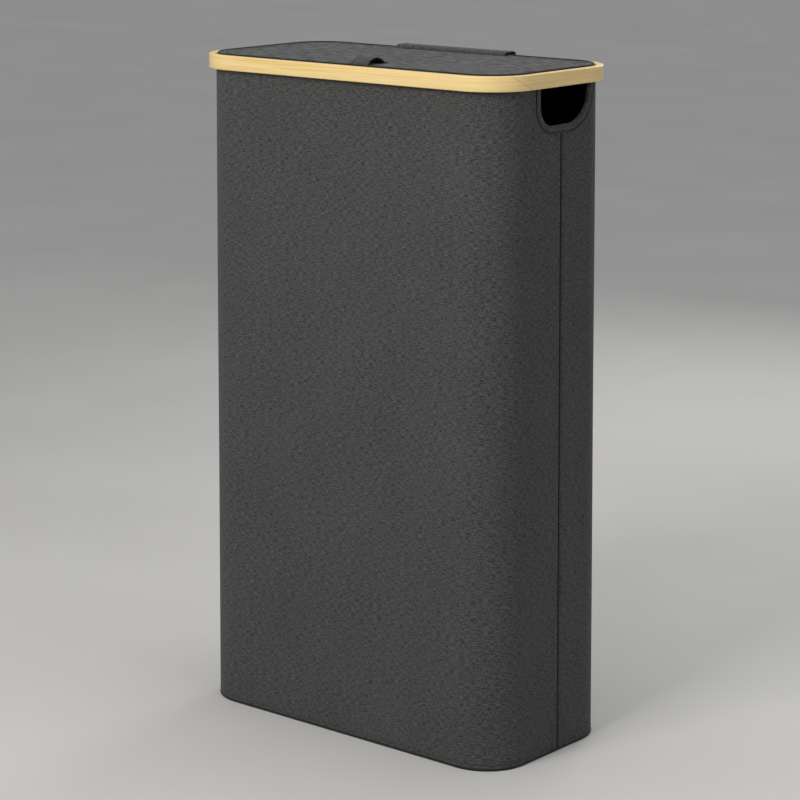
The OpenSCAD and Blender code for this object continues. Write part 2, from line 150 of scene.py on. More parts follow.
def half_loop(front):
    """The outline of the front or the rear panel, from the right side seam to the left one."""
    s = -1 if front else 1
    y0 = seam_y + s * seam_gap
    ends = [0, 1.2 * MM, 3 * MM, 5 * MM]
    legs = []
    for a, b in zip(ends[:-1], ends[1:]):
        legs.append(("line", (core_x, y0 + s * a), (core_x, y0 + s * b), (1, 0)))
    legs += [("line", (core_x, y0 + s * ends[-1]), (core_x, s * core_y), (1, 0)),
             ("arc", (core_x, s * core_y), 0, 90 * s),
             ("line", (core_x, s * core_y), (-core_x, s * core_y), (0, s)),
             ("arc", (-core_x, s * core_y), 90 * s, 180 * s),
             ("line", (-core_x, s * core_y), (-core_x, y0 + s * ends[-1]), (-1, 0))]
    for a, b in zip(ends[:0:-1], ends[-2::-1]):
        legs.append(("line", (-core_x, y0 + s * a), (-core_x, y0 + s * b), (-1, 0)))
    core, arrow = plan_stations(legs)
    return np.vstack([core, [-core_x, y0]]), np.vstack([arrow, [-1, 0]])


def ring_points(core, arrow, radius, z):
    """Points of an outline at a radius from its core, at one height or at a height each."""
    flat = core + arrow * radius
    return np.column_stack([flat, np.full(len(flat), z) if np.isscalar(z) else z])


def lengths(points, closed=False):
    """Distance along a row of points, from its first point."""
    p = np.vstack([points, points[:1]]) if closed else points
    return np.concatenate([[0], np.cumsum(np.linalg.norm(np.diff(p, axis=0), axis=1))])


def arc_path(points, step):
    """Evenly spaced points along a polyline, including both ends."""
    points = np.array(points, float)
    s = lengths(points)
    n = max(2, int(round(s[-1] / step)) + 1)
    at = np.linspace(0, s[-1], n)
    return np.column_stack([np.interp(at, s, points[:, k]) for k in range(points.shape[1])])


core, arrow = round_loop()
print("stations round the body:", len(core), "length", round(lengths(core + arrow * corner_r, True)[-1], 4))

# %% [markdown]
# ## Builders
# Cloth, tape and webbing are all thin closed solids. One builder closes the space between two grids of
# points, which suits panels, bags and linings. Another carries a rounded section along a path, which
# suits straps and bindings. Both write a UV map in metres, so that one weave fits every piece.

# %% Mesh from numbers
def in_scene(name, data):
    """A new object for a mesh, a light or a camera, linked to the scene."""
    thing = bpy.data.objects.new(name, data)
    bpy.context.scene.collection.objects.link(thing)
    return thing


def shade(mesh, sharp=40):
    """Smooth shading, with the edges past an angle in degrees marked as sharp."""
    mesh.polygons.foreach_set("use_smooth", [True] * len(mesh.polygons))
    mesh.set_sharp_from_angle(angle=math.radians(sharp))


def piece_from(bm, name, sharp=40):
    """A mesh object from an edited mesh, which is freed."""
    mesh = bpy.data.meshes.new(name)
    bm.to_mesh(mesh)
    bm.free()
    shade(mesh, sharp)
    return in_scene(name, mesh)


def new_piece(name, verts, faces, face_uvs=None, merge=0.0, sharp=40):
    """A mesh object with outward faces, smooth shading and a UV map in metres."""
    mesh = bpy.data.meshes.new(name)
    mesh.from_pydata([tuple(v) for v in verts], [], [tuple(f) for f in faces])
    if face_uvs is not None:
        layer = mesh.uv_layers.new(name="UVMap")
        flat = np.array([c for f in face_uvs for c in f], np.float32)
        layer.data.foreach_set("uv", flat.ravel())
    bm = bmesh.new()
    bm.from_mesh(mesh)
    if merge:
        bmesh.ops.remove_doubles(bm, verts=bm.verts, dist=merge)
        bmesh.ops.dissolve_degenerate(bm, edges=bm.edges, dist=merge / 10)
    bmesh.ops.recalc_face_normals(bm, faces=bm.faces)
    bm.to_mesh(mesh)
    bm.free()
    shade(mesh, sharp)
    return in_scene(name, mesh)


def solid_between(name, outer, inner, u, v, ring=False, merge=0.0):
    """A closed sheet between two grids of points (columns, rows, 3), with softly rounded edges."""
    nu, nv = outer.shape[:2]
    verts = [*outer.reshape(-1, 3), *inner.reshape(-1, 3)]
    faces, uvs = [], []

    def at(i, j, layer):
        return layer * nu * nv + (i % nu) * nv + j

    for i in range(nu if ring else nu - 1):
        for j in range(nv - 1):
            cells = [(i, j), (i + 1, j), (i + 1, j + 1), (i, j + 1)]
            for layer in (0, 1):
                order = cells if layer == 0 else cells[::-1]
                faces.append([at(a, b, layer) for a, b in order])
                uvs.append([(u[a], v[b]) for a, b in order])
    if ring:
        edges = [[(i, 0) for i in range(nu + 1)], [(i, nv - 1) for i in range(nu + 1)]]
    else:
        edges = [[(i, 0) for i in range(nu)] + [(nu - 1, j) for j in range(1, nv)]
                 + [(i, nv - 1) for i in range(nu - 2, -1, -1)] + [(0, j) for j in range(nv - 2, -1, -1)]]
    for edge in edges:
        lips = {}
        for i, j in edge:
            if (i % nu, j) in lips:
                continue
            a, b = outer[i % nu, j], inner[i % nu, j]
            step_in = (1 if j == 0 else -1 if j == nv - 1 else 0)
            side_in = 0 if ring else (1 if i == 0 else -1 if i == nu - 1 else 0)
            away = a - outer[(i + side_in) % nu, j + step_in]
            away = away / max(np.linalg.norm(away), 1e-9)
            lips[(i % nu, j)] = len(verts)
            verts.append((a + b) / 2 + away * np.linalg.norm(a - b) * 0.4)
        for (i0, j0), (i1, j1) in zip(edge[:-1], edge[1:]):
            m0, m1 = lips[(i0 % nu, j0)], lips[(i1 % nu, j1)]
            for layer in (0, 1):
                faces.append([at(i0, j0, layer), at(i1, j1, layer), m1, m0])
                uvs.append([(u[i0], v[j0]), (u[i1], v[j1]), (u[i1], v[j1]), (u[i0], v[j0])])
    return new_piece(name, verts, faces, uvs, merge)


def strap_section(width, thick, radius, across=8):
    """A rounded rectangle, as (sideways, outwards) points in order."""
    radius = min(radius, thick / 2 * 0.98)
    w, t = width / 2 - radius, thick / 2 - radius
    points = []
    for sx, sy, a0 in ((1, 1, 0), (-1, 1, 90), (-1, -1, 180), (1, -1, 270)):
        for k in range(4):
            a = math.radians(a0 + 90 * k / 3)
            points.append((sx * w + radius * math.cos(a), sy * t + radius * math.sin(a)))
        if a0 in (0, 180):
            for k in range(1, across):
                points.append((sx * w * (1 - 2 * k / across), sy * thick / 2))
    return np.array(points)


def strap(name, path, outward, width, thick, radius=0.5 * MM, ring=False, across=8):
    """Carries a strap's section along a path. outward is the direction that its face looks, at each point."""
    path, outward = np.array(path, float), np.array(outward, float)
    n = len(path)
    if ring:
        tangent = np.roll(path, -1, 0) - np.roll(path, 1, 0)
    else:
        tangent = np.gradient(path, axis=0)
    tangent /= np.linalg.norm(tangent, axis=1)[:, None]
    outward = outward - (outward * tangent).sum(1)[:, None] * tangent
    outward /= np.linalg.norm(outward, axis=1)[:, None]
    side = np.cross(tangent, outward)
    section = strap_section(width, thick, radius, across)
    m = len(section)
    across_it = side[:, None] * section[None, :, :1]
    verts = (path[:, None] + across_it + outward[:, None] * section[None, :, 1:]).reshape(-1, 3)
    along = lengths(path, ring)
    faces, uvs = [], []
    for i in range(n if ring else n - 1):
        for j in range(m):
            k = (j + 1) % m
            i2 = (i + 1) % n
            faces.append([i * m + j, i * m + k, i2 * m + k, i2 * m + j])
            uvs.append([(along[i], section[j, 0]), (along[i], section[k, 0]),
                        (along[i + 1], section[k, 0]), (along[i + 1], section[j, 0])])
    if not ring:
        for i in (0, n - 1):
            faces.append([i * m + j for j in range(m)])
            uvs.append([(along[i] + section[j, 1], section[j, 0]) for j in range(m)])
    return new_piece(name, verts, faces, uvs)


def face_uv(p, normal):
    """A point's place on a flat sheet that lies against a face, in metres."""
    if abs(normal.z) > 0.7:
        return p.x, p.y
    return (p.y, p.z) if abs(normal.x) > abs(normal.y) else (p.x, p.z)


def soft_copy(name, cad_name, bevel=0.35 * MM):
    """A rounded copy of a small CAD solid, with a UV map laid on by the way each face looks."""
    bm = bmesh.new()
    bm.from_mesh(nodes[cad_name].data)
    bmesh.ops.remove_doubles(bm, verts=bm.verts, dist=2e-5)
    bmesh.ops.dissolve_limit(bm, angle_limit=math.radians(1.5), verts=bm.verts, edges=bm.edges)
    corners = [e for e in bm.edges if len(e.link_faces) == 2 and e.calc_face_angle(0) > math.radians(45)]
    bmesh.ops.bevel(bm, geom=corners, offset=bevel, segments=2, profile=0.5, affect="EDGES",
                    clamp_overlap=True)
    bmesh.ops.triangulate(bm, faces=[f for f in bm.faces if len(f.verts) > 4])
    bmesh.ops.recalc_face_normals(bm, faces=bm.faces)
    layer = bm.loops.layers.uv.new("UVMap")
    for f in bm.faces:
        for c in f.loops:
            c[layer].uv = face_uv(c.vert.co, f.normal)
    return piece_from(bm, name, sharp=50)


def freeze(piece):
    """Turns what the modifiers make into a plain mesh, and removes them."""
    graph = bpy.context.evaluated_depsgraph_get()
    mesh = bpy.data.meshes.new_from_object(piece.evaluated_get(graph))
    piece.modifiers.clear()
    piece.data = mesh
    return piece


def joined(name, pieces):
    """Several pieces as one mesh object."""
    bm = bmesh.new()
    for p in pieces:
        bm.from_mesh(p.data)
        bpy.data.objects.remove(p)
    return piece_from(bm, name)


print("builders ready")

# %% [markdown]
# ## Materials
# Every finish is made of shader nodes. Cloth reads the UV map in metres, so a thread has the same width
# everywhere. Moulded and metal parts read Object coordinates. Roughness and bump carry the fine detail,
# and the numbers that don't vary are set on the shader itself.

# %% Node helpers
def shader(name, roughness=0.6, **settings):
    """A new material and its node tree, with plain values set on the shader."""
    m = bpy.data.materials.new(name)
    m.use_nodes = True
    m.node_tree.nodes["Principled BSDF"].inputs["Roughness"].default_value = roughness
    for key, value in settings.items():
        m.node_tree.nodes["Principled BSDF"].inputs[key.replace("_", " ")].default_value = value
    return m


def make(m, kind, settings=(), **feeds):
    """Adds a node, sets its settings, and feeds its inputs with values or sockets."""
    n = m.node_tree.nodes.new(kind)
    for key, value in dict(settings).items():
        setattr(n, key, value)
    for key, value in feeds.items():
        by_place = key[0] == "i" and key[1:].isdigit()
        socket = n.inputs[int(key[1:])] if by_place else n.inputs[key.replace("_", " ")]
        if isinstance(value, bpy.types.NodeSocket):
            m.node_tree.links.new(value, socket)
        else:
            socket.default_value = value
    return n


def calc(m, operation, *values):
    """One step of arithmetic on numbers or sockets."""
    feeds = {f"i{k}": v for k, v in enumerate(values)}
    return make(m, "ShaderNodeMath", {"operation": operation}, **feeds).outputs[0]


def shares(m, *parts):
    """The sum of several sockets, each times its share."""
    total = None
    for socket, share in parts:
        part = calc(m, "MULTIPLY", socket, share)
        total = part if total is None else calc(m, "ADD", total, part)
    return total


def cloth_place(m):
    """The UV map in metres."""
    return make(m, "ShaderNodeUVMap", {"uv_map": "UVMap"}).outputs[0]


def object_place(m):
    """The place on the object in metres."""
    return make(m, "ShaderNodeTexCoord").outputs["Object"]


def axes(m, vector):
    """The three numbers of a vector."""
    return make(m, "ShaderNodeSeparateXYZ", Vector=vector).outputs


def grain(m, vector, scale, detail=2.0, roughness=0.5, stretch=(1, 1, 1), shift=(0, 0, 0)):
    """Noise with its own stretch, from 0 to 1."""
    moved = make(m, "ShaderNodeMapping", Vector=vector, Scale=stretch, Location=shift).outputs[0]
    noise = make(m, "ShaderNodeTexNoise", Vector=moved, Scale=scale, Detail=detail, Roughness=roughness)
    return noise.outputs[0]


def ramp(m, factor, *stops):
    """A colour ramp through (place, colour) stops."""
    n = make(m, "ShaderNodeValToRGB", Fac=factor)
    bar = n.color_ramp
    while len(bar.elements) < len(stops):
        bar.elements.new(0.5)
    for e, (place, colour) in zip(bar.elements, stops):
        e.position, e.color = place, (*colour, 1)
    return n.outputs[0]


def finish_with(m, colour=None, height=None, bump=0.3, depth=0.0003, rough=None):
    """Joins colour, roughness and bump to the shader."""
    tree = m.node_tree
    out = tree.nodes["Principled BSDF"]
    if colour is not None:
        tree.links.new(colour, out.inputs["Base Color"])
    if rough is not None:
        tree.links.new(rough, out.inputs["Roughness"])
    if height is not None:
        relief = make(m, "ShaderNodeBump", Strength=bump, Distance=depth, Height=height).outputs[0]
        tree.links.new(relief, out.inputs["Normal"])
    return m


def grey(v, warm=0.0):
    """A grey of a given lightness, a little warmer or not."""
    return (v * (1 + warm), v, v * (1 - warm))


# %% [markdown]
# ### Woven cloth
# The body's cloth is a charcoal melange: dark and light fibres are spun into one yarn, so the threads
# change in tone along their length, most of all along the crosswise ones. Two stretched noises give the
# two thread directions, a third gives the fibre, and the product of two sine waves is the plain weave.

# %% Cloth finishes
def woven(name, dark, light, pitch, slub, weft_share=0.54, sheen=0.15, bump=0.25, streak=(0.42, 0.60)):
    """Plain weave with a thread pitch, and with slubs of a length that change its tone."""
    m = shader(name, roughness=0.92, Sheen_Weight=sheen, Sheen_Roughness=0.6, Specular_IOR_Level=0.25)
    uv = cloth_place(m)
    weft = grain(m, uv, 1.0, 2.0, 0.5, (1 / slub, 1 / pitch, 1))
    warp = grain(m, uv, 1.0, 2.0, 0.5, (1 / pitch, 1 / (0.7 * slub), 1), (3.1, 7.7, 0))
    speck = grain(m, uv, 1.0, 1.0, 0.5, (0.9 / pitch, 0.9 / pitch, 1), (9.3, 1.9, 0))
    cloud = grain(m, uv, 1.0, 2.0, 0.5, (14, 11, 1), (5.3, 2.9, 0))
    u, v, _ = axes(m, uv)
    turn = 2 * math.pi / (2 * pitch)
    over = calc(m, "SINE", calc(m, "MULTIPLY", u, turn))
    under = calc(m, "SINE", calc(m, "MULTIPLY", v, turn))
    weave = calc(m, "MULTIPLY", over, under)
    tone = shares(m, (weft, weft_share), (warp, 0.94 - weft_share), (speck, 0.06),
                  (calc(m, "SUBTRACT", cloud, 0.5), 0.04), (weave, 0.03))
    colour = ramp(m, tone, (streak[0], grey(dark)), (streak[1], grey(light)))
    height = calc(m, "ADD", calc(m, "MULTIPLY", weave, 0.35), weft)
    return finish_with(m, colour, height, bump, 0.0002)


melange = woven("charcoal_melange", 0.024, 0.104, 0.7 * MM, 6 * MM, sheen=0.06, streak=(0.41, 0.59))
lid_melange = woven("charcoal_lid_melange", 0.006, 0.112, 1.9 * MM, 16 * MM, weft_share=0.66, sheen=0.06,
                    streak=(0.465, 0.535))
lining_cloth = woven("black_lining_cloth", 0.008, 0.016, 0.5 * MM, 5 * MM, sheen=0.1, bump=0.2)
bag_grey = woven("grey_bag_cloth", 0.10, 0.17, 0.6 * MM, 7 * MM, sheen=0.2, bump=0.25)
tape_black = woven("black_binding_tape", 0.006, 0.018, 0.8 * MM, 3 * MM, sheen=0.15, bump=0.5)


def ribbed(name, dark, light, pitch):
    """Webbing: ribs across the strap, each bound by fine threads."""
    m = shader(name, roughness=0.8, Sheen_Weight=0.15, Specular_IOR_Level=0.3)
    uv = cloth_place(m)
    u, v, _ = axes(m, uv)
    rib = calc(m, "ABSOLUTE", calc(m, "SINE", calc(m, "MULTIPLY", u, math.pi / pitch)))
    thread = calc(m, "ABSOLUTE", calc(m, "SINE", calc(m, "MULTIPLY", v, math.pi / (pitch * 0.7))))
    fibre = grain(m, uv, 1.0, 2.0, 0.5, (600, 600, 1))
    height = calc(m, "ADD", rib, calc(m, "MULTIPLY", thread, 0.35))
    colour = ramp(m, shares(m, (height, 0.5), (fibre, 0.35)), (0.15, grey(dark)), (0.9, grey(light)))
    return finish_with(m, colour, height, 0.6, 0.0003)


webbing_black = ribbed("black_ribbed_webbing", 0.006, 0.024, 1.4 * MM)
band_black = ribbed("black_band_ribbon", 0.007, 0.02, 1.0 * MM)


def hooked():
    """Hook tape: a field of tiny hooks in rows, which looks like fine dark fur."""
    m = shader("black_hook_tape", roughness=0.7, Specular_IOR_Level=0.4)
    uv = cloth_place(m)
    dots = make(m, "ShaderNodeTexVoronoi", {"feature": "F1"}, Vector=uv, Scale=900.0, Randomness=0.6)
    colour = ramp(m, grain(m, uv, 1.0, 1.0, 0.5, (500, 500, 1)), (0.3, grey(0.004)), (0.75, grey(0.02)))
    return finish_with(m, colour, dots.outputs["Distance"], 0.8, 0.0006)


def twisted():
    """Sewing thread: dark, with a little gloss and a fine change of tone."""
    m = shader("black_sewing_thread", roughness=0.55, Specular_IOR_Level=0.4)
    tone = grain(m, object_place(m), 1400.0)
    return finish_with(m, ramp(m, tone, (0.3, grey(0.006)), (0.8, grey(0.022))))


hook_black = hooked()
thread_black = twisted()
print("cloth finishes:", len(bpy.data.materials))

# %% [markdown]
# ### Bamboo
# The rim is a strip of bamboo bent round a form. Its fibres run along the strip, so the finish needs to
# know how far along the strip a point is. The mesh carries that as an attribute (along, across, up), and
# noise stretched along the first of them gives the fibres on every face at once. A fine slanted line is
# the lap where the two ends of the strip overlap.

# %% Bamboo finish
def bamboo(lap_at):
    """Bamboo with fibres along the strip and a lap line at a place on it."""
    m = shader("pale_bamboo", roughness=0.42, Coat_Weight=0.25, Coat_Roughness=0.25)
    lap_lean, lap_half_w, lap_share, lap_tone = 1.6, 0.00045, 0.45, (0.22, 0.12, 0.04, 1)
    place = make(m, "ShaderNodeAttribute", {"attribute_name": "strip"}).outputs["Vector"]
    along, out, up = axes(m, place)
    fibre = grain(m, place, 1.0, 4.0, 0.6, (14, 900, 900))
    band = grain(m, place, 1.0, 2.0, 0.5, (5, 160, 160), (2.0, 1.0, 4.0))
    warmth = grain(m, place, 1.0, 1.0, 0.5, (3.2, 6, 6), (8.0, 3.0, 1.0))
    pores = grain(m, place, 1.0, 2.0, 0.7, (60, 2400, 2400), (1.0, 5.0, 2.0))
    tone = shares(m, (fibre, 0.40), (band, 0.30), (pores, 0.14), (warmth, 0.22))
    wood = ramp(m, tone, (0.38, (0.76, 0.46, 0.15)), (0.50, (0.92, 0.66, 0.27)), (0.64, (0.98, 0.78, 0.40)))
    slant = calc(m, "SUBTRACT", along, calc(m, "MULTIPLY_ADD", up, lap_lean, lap_at))
    line = calc(m, "LESS_THAN", calc(m, "ABSOLUTE", slant), lap_half_w)
    outer = calc(m, "MULTIPLY", line, calc(m, "GREATER_THAN", out, 0.0))
    colour = make(m, "ShaderNodeMix", {"data_type": "RGBA"}, i0=calc(m, "MULTIPLY", outer, lap_share),
                  i6=wood, i7=lap_tone).outputs[2]
    height = calc(m, "SUBTRACT", calc(m, "ADD", fibre, calc(m, "MULTIPLY", pores, 0.6)), outer)
    return finish_with(m, colour, height, 0.25, 0.0002, calc(m, "MULTIPLY_ADD", fibre, 0.25, 0.30))


# %% [markdown]
# ### Plastic, metal and board
# These parts keep their CAD shape and only need a surface. Moulded plastic has a fine matt grain, drawn
# aluminium has streaks along the tube, and board shows pressed fibres.

# %% Hard finishes
def moulded(name, dark, light):
    """Moulded plastic with a fine matt grain."""
    m = shader(name, roughness=0.5)
    p = object_place(m)
    fine, broad = grain(m, p, 1800.0, 2.0), grain(m, p, 25.0, 2.0)
    rough = calc(m, "MULTIPLY_ADD", broad, 0.2, 0.4)
    return finish_with(m, ramp(m, broad, (0.3, grey(dark)), (0.7, grey(light))), fine, 0.25, 0.0002, rough)


def drawn_metal(name, stretch, tone, rough_low):
    """Metal with fine streaks along the way that it was drawn."""
    m = shader(name, roughness=0.3, Metallic=1.0)
    streak = grain(m, object_place(m), 1.0, 3.0, 0.6, stretch)
    colour = ramp(m, streak, (0.3, grey(tone * 0.82)), (0.7, grey(tone)))
    return finish_with(m, colour, streak, 0.15, 0.0001, calc(m, "MULTIPLY_ADD", streak, 0.3, rough_low))


def pressed(name, dark, light, scale):
    """Board with pressed fibres."""
    m = shader(name, roughness=0.85)
    fibres = grain(m, object_place(m), scale, 5.0, 0.7)
    return finish_with(m, ramp(m, fibres, (0.35, dark), (0.65, light)), fibres, 0.3, 0.0004)


black_plastic = moulded("black_moulded_plastic", 0.012, 0.024)
tube_metal = drawn_metal("drawn_aluminium", (900, 900, 14), 0.82, 0.2)
screw_metal = drawn_metal("zinc_plated_steel", (500, 500, 500), 0.72, 0.22)
fibreboard = pressed("pressed_fibreboard", (0.30, 0.19, 0.10), (0.50, 0.35, 0.20), 260.0)
sheet_grey = pressed("hollow_plastic_sheet", grey(0.40, 0.03), grey(0.5, 0.03), 60.0)
print("all finishes:", len(bpy.data.materials))


def dress(piece, finish, body, *stands_for, slot=None):
    """Gives a piece its finish, the body it moves with and the CAD nodes that it stands for."""
    piece.data.materials.clear()
    piece.data.materials.append(finish)
    if body:
        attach(piece, body)
    if stands_for:
        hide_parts(*stands_for)
    return piece


# %% [markdown]
# ## The bent bands
# The bamboo rim, the piping and the stiff bands round the bags are all one thing: a strip carried round
# a closed outline. Geometry Nodes do that with Curve to Mesh. The tree takes the strip's two sizes and
# its edge radius, and stores how far along the strip each point lies for the finish to read.

# %% Helpers for node trees
def new_tree(name, inputs, output):
    """A tree with named inputs, each with its kind, and one output of geometry."""
    tree = bpy.data.node_groups.new(name, "GeometryNodeTree")
    for label, kind in inputs.items():
        tree.interface.new_socket(name=label, in_out="INPUT", socket_type="NodeSocket" + kind)
    tree.interface.new_socket(name=output, in_out="OUTPUT", socket_type="NodeSocketGeometry")
    return tree


def add_nodes(tree, **kinds):
    """Adds nodes of the given kinds, and the tree's own two ends, and returns them by name."""
    ends = {"source": "NodeGroupInput", "result": "NodeGroupOutput"}
    return {key: tree.nodes.new(kind) for key, kind in {**ends, **kinds}.items()}


def wire(tree, parts, *links):
    """Joins sockets. A link reads 'node.output > node.input', where a number is a socket's place."""
    for text in links:
        (a, out), (b, into) = (end.strip().split(".") for end in text.split(">"))
        out, into = (int(key) if key.isdigit() else key for key in (out, into))
        tree.links.new(parts[a].outputs[out], parts[b].inputs[into])


# %% A tree that bends a strip round an outline
def bend_tree():
    """Carries a rounded rectangle round an outline, and stores each point's place on the strip."""
    sizes = {"Thickness": "Float", "Height": "Float", "Edge radius": "Float", "Edge steps": "Int"}
    tree = new_tree("bent_strip", {"Outline": "Geometry", **sizes, "Finish": "Material"}, "Strip")
    n = add_nodes(tree, path="GeometryNodeMeshToCurve", upright="GeometryNodeSetCurveNormal",
                  section="GeometryNodeCurvePrimitiveQuadrilateral", rounded="GeometryNodeFilletCurve",
                  along="GeometryNodeSplineParameter", place="GeometryNodeInputPosition",
                  keep_along="GeometryNodeCaptureAttribute", keep_place="GeometryNodeCaptureAttribute",
                  sweep="GeometryNodeCurveToMesh", split="ShaderNodeSeparateXYZ", join="ShaderNodeCombineXYZ",
                  store="GeometryNodeStoreNamedAttribute", smooth="GeometryNodeSetShadeSmooth",
                  real="GeometryNodeRealizeInstances", paint="GeometryNodeSetMaterial")
    n["upright"].mode, n["rounded"].mode = "Z_UP", "POLY"
    n["keep_along"].capture_items.new("FLOAT", "Along")
    n["keep_place"].capture_items.new("VECTOR", "Place")
    n["store"].data_type, n["store"].domain = "FLOAT_VECTOR", "POINT"
    n["store"].inputs["Name"].default_value = "strip"
    wire(tree, n, "source.Outline > path.Mesh", "path.Curve > upright.Curve",
         "upright.Curve > keep_along.Geometry", "along.Length > keep_along.Along",
         "source.Thickness > section.Width", "source.Height > section.Height",
         "section.Curve > rounded.Curve", "source.Edge radius > rounded.Radius",
         "source.Edge steps > rounded.Count", "rounded.Curve > keep_place.Geometry",
         "place.Position > keep_place.Place", "keep_along.Geometry > sweep.Curve",
         "keep_place.Geometry > sweep.Profile Curve", "keep_place.Place > split.0",
         "keep_along.Along > join.0", "split.0 > join.1", "split.1 > join.2",
         "sweep.Mesh > store.Geometry", "join.0 > store.Value", "store.Geometry > smooth.Geometry",
         "smooth.Geometry > real.Geometry", "real.Geometry > paint.Geometry",
         "source.Finish > paint.Material", "paint.Geometry > result.Strip")
    return tree


def with_tree(name, points_lists, tree, closed, attributes=(), **inputs):
    """A mesh of bare paths with a tree on it, its named inputs set, turned into a plain mesh."""
    verts, edges = [], []
    for points, shut in zip(points_lists, closed):
        n0 = len(verts)
        verts += [tuple(p) for p in points]
        edges += [(n0 + k, n0 + k + 1) for k in range(len(points) - 1)]
        if shut:
            edges.append((n0 + len(points) - 1, n0))
    mesh = bpy.data.meshes.new(name)
    mesh.from_pydata(verts, edges, [])
    for key, values in dict(attributes).items():
        a = mesh.attributes.new(key, "FLOAT_VECTOR", "POINT")
        a.data.foreach_set("vector", np.array(values, np.float32).ravel())
    piece = in_scene(name, mesh)
    modifier = piece.modifiers.new(tree.name, "NODES")
    modifier.node_group = tree
    sockets = {s.name: s.identifier for s in tree.interface.items_tree if s.in_out == "INPUT"}
    for key, value in inputs.items():
        modifier[sockets[key.replace("_", " ")]] = value
    return freeze(piece)


bent_strip = bend_tree()


def outward_again(piece):
    """Turns the faces of a closed mesh outwards and marks its sharp edges."""
    bm = bmesh.new()
    bm.from_mesh(piece.data)
    bmesh.ops.recalc_face_normals(bm, faces=bm.faces)
    bm.to_mesh(piece.data)
    bm.free()
    shade(piece.data)
    return piece


def bent(name, outline, z, thickness, height, radius, finish, steps=4):
    """A strip round an outline, with rounded edges of a number of steps."""
    piece = with_tree(name, [ring_points(*outline, z)], bent_strip, [True], Thickness=thickness,
                      Height=height, Edge_radius=radius, Edge_steps=steps, Finish=finish)
    size = np.ptp(np.array([v.co for v in piece.data.vertices]), axis=0)
    print(name, "size", np.round(size, 4), "faces", len(piece.data.polygons))
    return outward_again(piece)


def outline_at(inset, **how):
    """The outline in the middle of a strip at an inset, as (core, arrow, radius)."""
    c, a = round_loop(**how)
    return c, a, corner_r - inset


# %% Bamboo rim
rim_mid_z = (neck_z + rim_top) / 2
rim_outline = outline_at(rim_t / 2, step=6 * MM, turn=20)
rim_points = ring_points(*rim_outline, rim_mid_z)
lap_turn = math.radians(-15)
lap_spot = np.array([core_x + corner_r * math.cos(lap_turn), -core_y + corner_r * math.sin(lap_turn)])
lap_index = int(np.argmin(np.linalg.norm(rim_points[:, :2] - lap_spot, axis=1)))
rim_finish = bamboo(lengths(rim_points)[lap_index])
rim = bent("bamboo_band", rim_outline, rim_mid_z, rim_t, rim_h, 1.3 * MM, rim_finish)
dress(rim, rim_finish, "root", "bamboo_rim", slot="bamboo")

# %% [markdown]
# ## The outer cloth
# Two panels of the melange cloth wrap the body and meet in a seam on each side. A panel is stiff and
# smooth, because a board lies behind it, but cloth is never as flat as a board: each panel gets a very
# shallow unevenness, and a small welt beside the seam where its edge is turned in. The hand cutouts are
# cut afterwards with a Boolean, which keeps the UV map.

# %% Cutting tool for the hand cutouts
def cutout_curve(grow, top=neck_z, steps=12):
    """The cutout's edge as (y, z) points from its front top corner round to its rear one."""
    half, low = cutout_half + grow, cutout_low - grow
    points = [(-half, top)]
    for s, r, a0, a1 in ((-1, cutout_front_r + grow, 180, 270), (1, cutout_rear_r + grow, 270, 360)):
        for k in range(steps + 1):
            a = math.radians(a0 + (a1 - a0) * k / steps)
            points.append((s * (half - r) + r * math.cos(a), low + r + r * math.sin(a)))
    points.append((half, top))
    return np.array(points) + [cutout_y, 0]


def cutting_tool():
    """One solid for each side that fills the cutout and passes through the whole wall."""
    edge = cutout_curve(3 * MM, top=neck_z - 0.3 * MM)
    n = len(edge)
    verts, faces = [], []
    for side in (-1, 1):
        first = len(verts)
        for x in (side * 0.17, side * 0.22):
            verts += [(x, y, z) for y, z in edge]
        faces.append([first + k for k in range(n)])
        faces.append([first + n + k for k in range(n - 1, -1, -1)])
        faces += [[first + k, first + (k + 1) % n, first + n + (k + 1) % n, first + n + k] for k in range(n)]
    return new_piece("cutting_tool", verts, faces)


cutter = cutting_tool()


def cut_hand_holes(piece):
    """Cuts both hand cutouts out of a wall layer."""
    modifier = piece.modifiers.new("hand_holes", "BOOLEAN")
    modifier.operation, modifier.solver, modifier.object = "DIFFERENCE", "EXACT", cutter
    freeze(piece)
    piece.data.set_sharp_from_angle(angle=math.radians(40))
    return piece


# %% Front and rear panels
def uneven(points, scale, shift):
    """A smooth unevenness between -1 and 1, the same on every run."""
    a = np.sin(points[..., 0] * scale + shift) * np.cos(points[..., 2] * scale * 0.7 + 1.3 * shift)
    b = np.sin(points[..., 1] * scale * 1.3 - points[..., 2] * scale * 0.45 + 2.1 * shift)
    return 0.6 * a + 0.4 * b


def wall_grid(core, arrow, heights, depth, swell=None):
    """Points of a wall layer: columns along the outline, rows up the wall."""
    grid = np.zeros((len(core), len(heights), 3))
    for j, z in enumerate(heights):
        grid[:, j] = ring_points(core, arrow, corner_r - float(wall_inset(z)) - depth, z)
    if swell is not None:
        grid[:, :, :2] += arrow[:, None] * swell[:, :, None]
    return grid


def wall_rows(low, high, step=9 * MM):
    """Heights of the rows of a wall layer, closer together at its lower edge."""
    middle = np.linspace(low + 6 * MM, high - 3 * MM, int((high - low) / step))
    return np.concatenate([[low, low + 2 * MM], middle, [high]])


panel_rows = wall_rows(wall_low, wall_top)
welt_h, welt_at, welt_w = 0.30 * MM, 2.6 * MM, 1.3 * MM
tuck_depth, tuck_w = 0.80 * MM, 0.7 * MM
uneven_h, calm_edge = 0.35 * MM, 40 * MM
uv_r = corner_r - 5 * MM


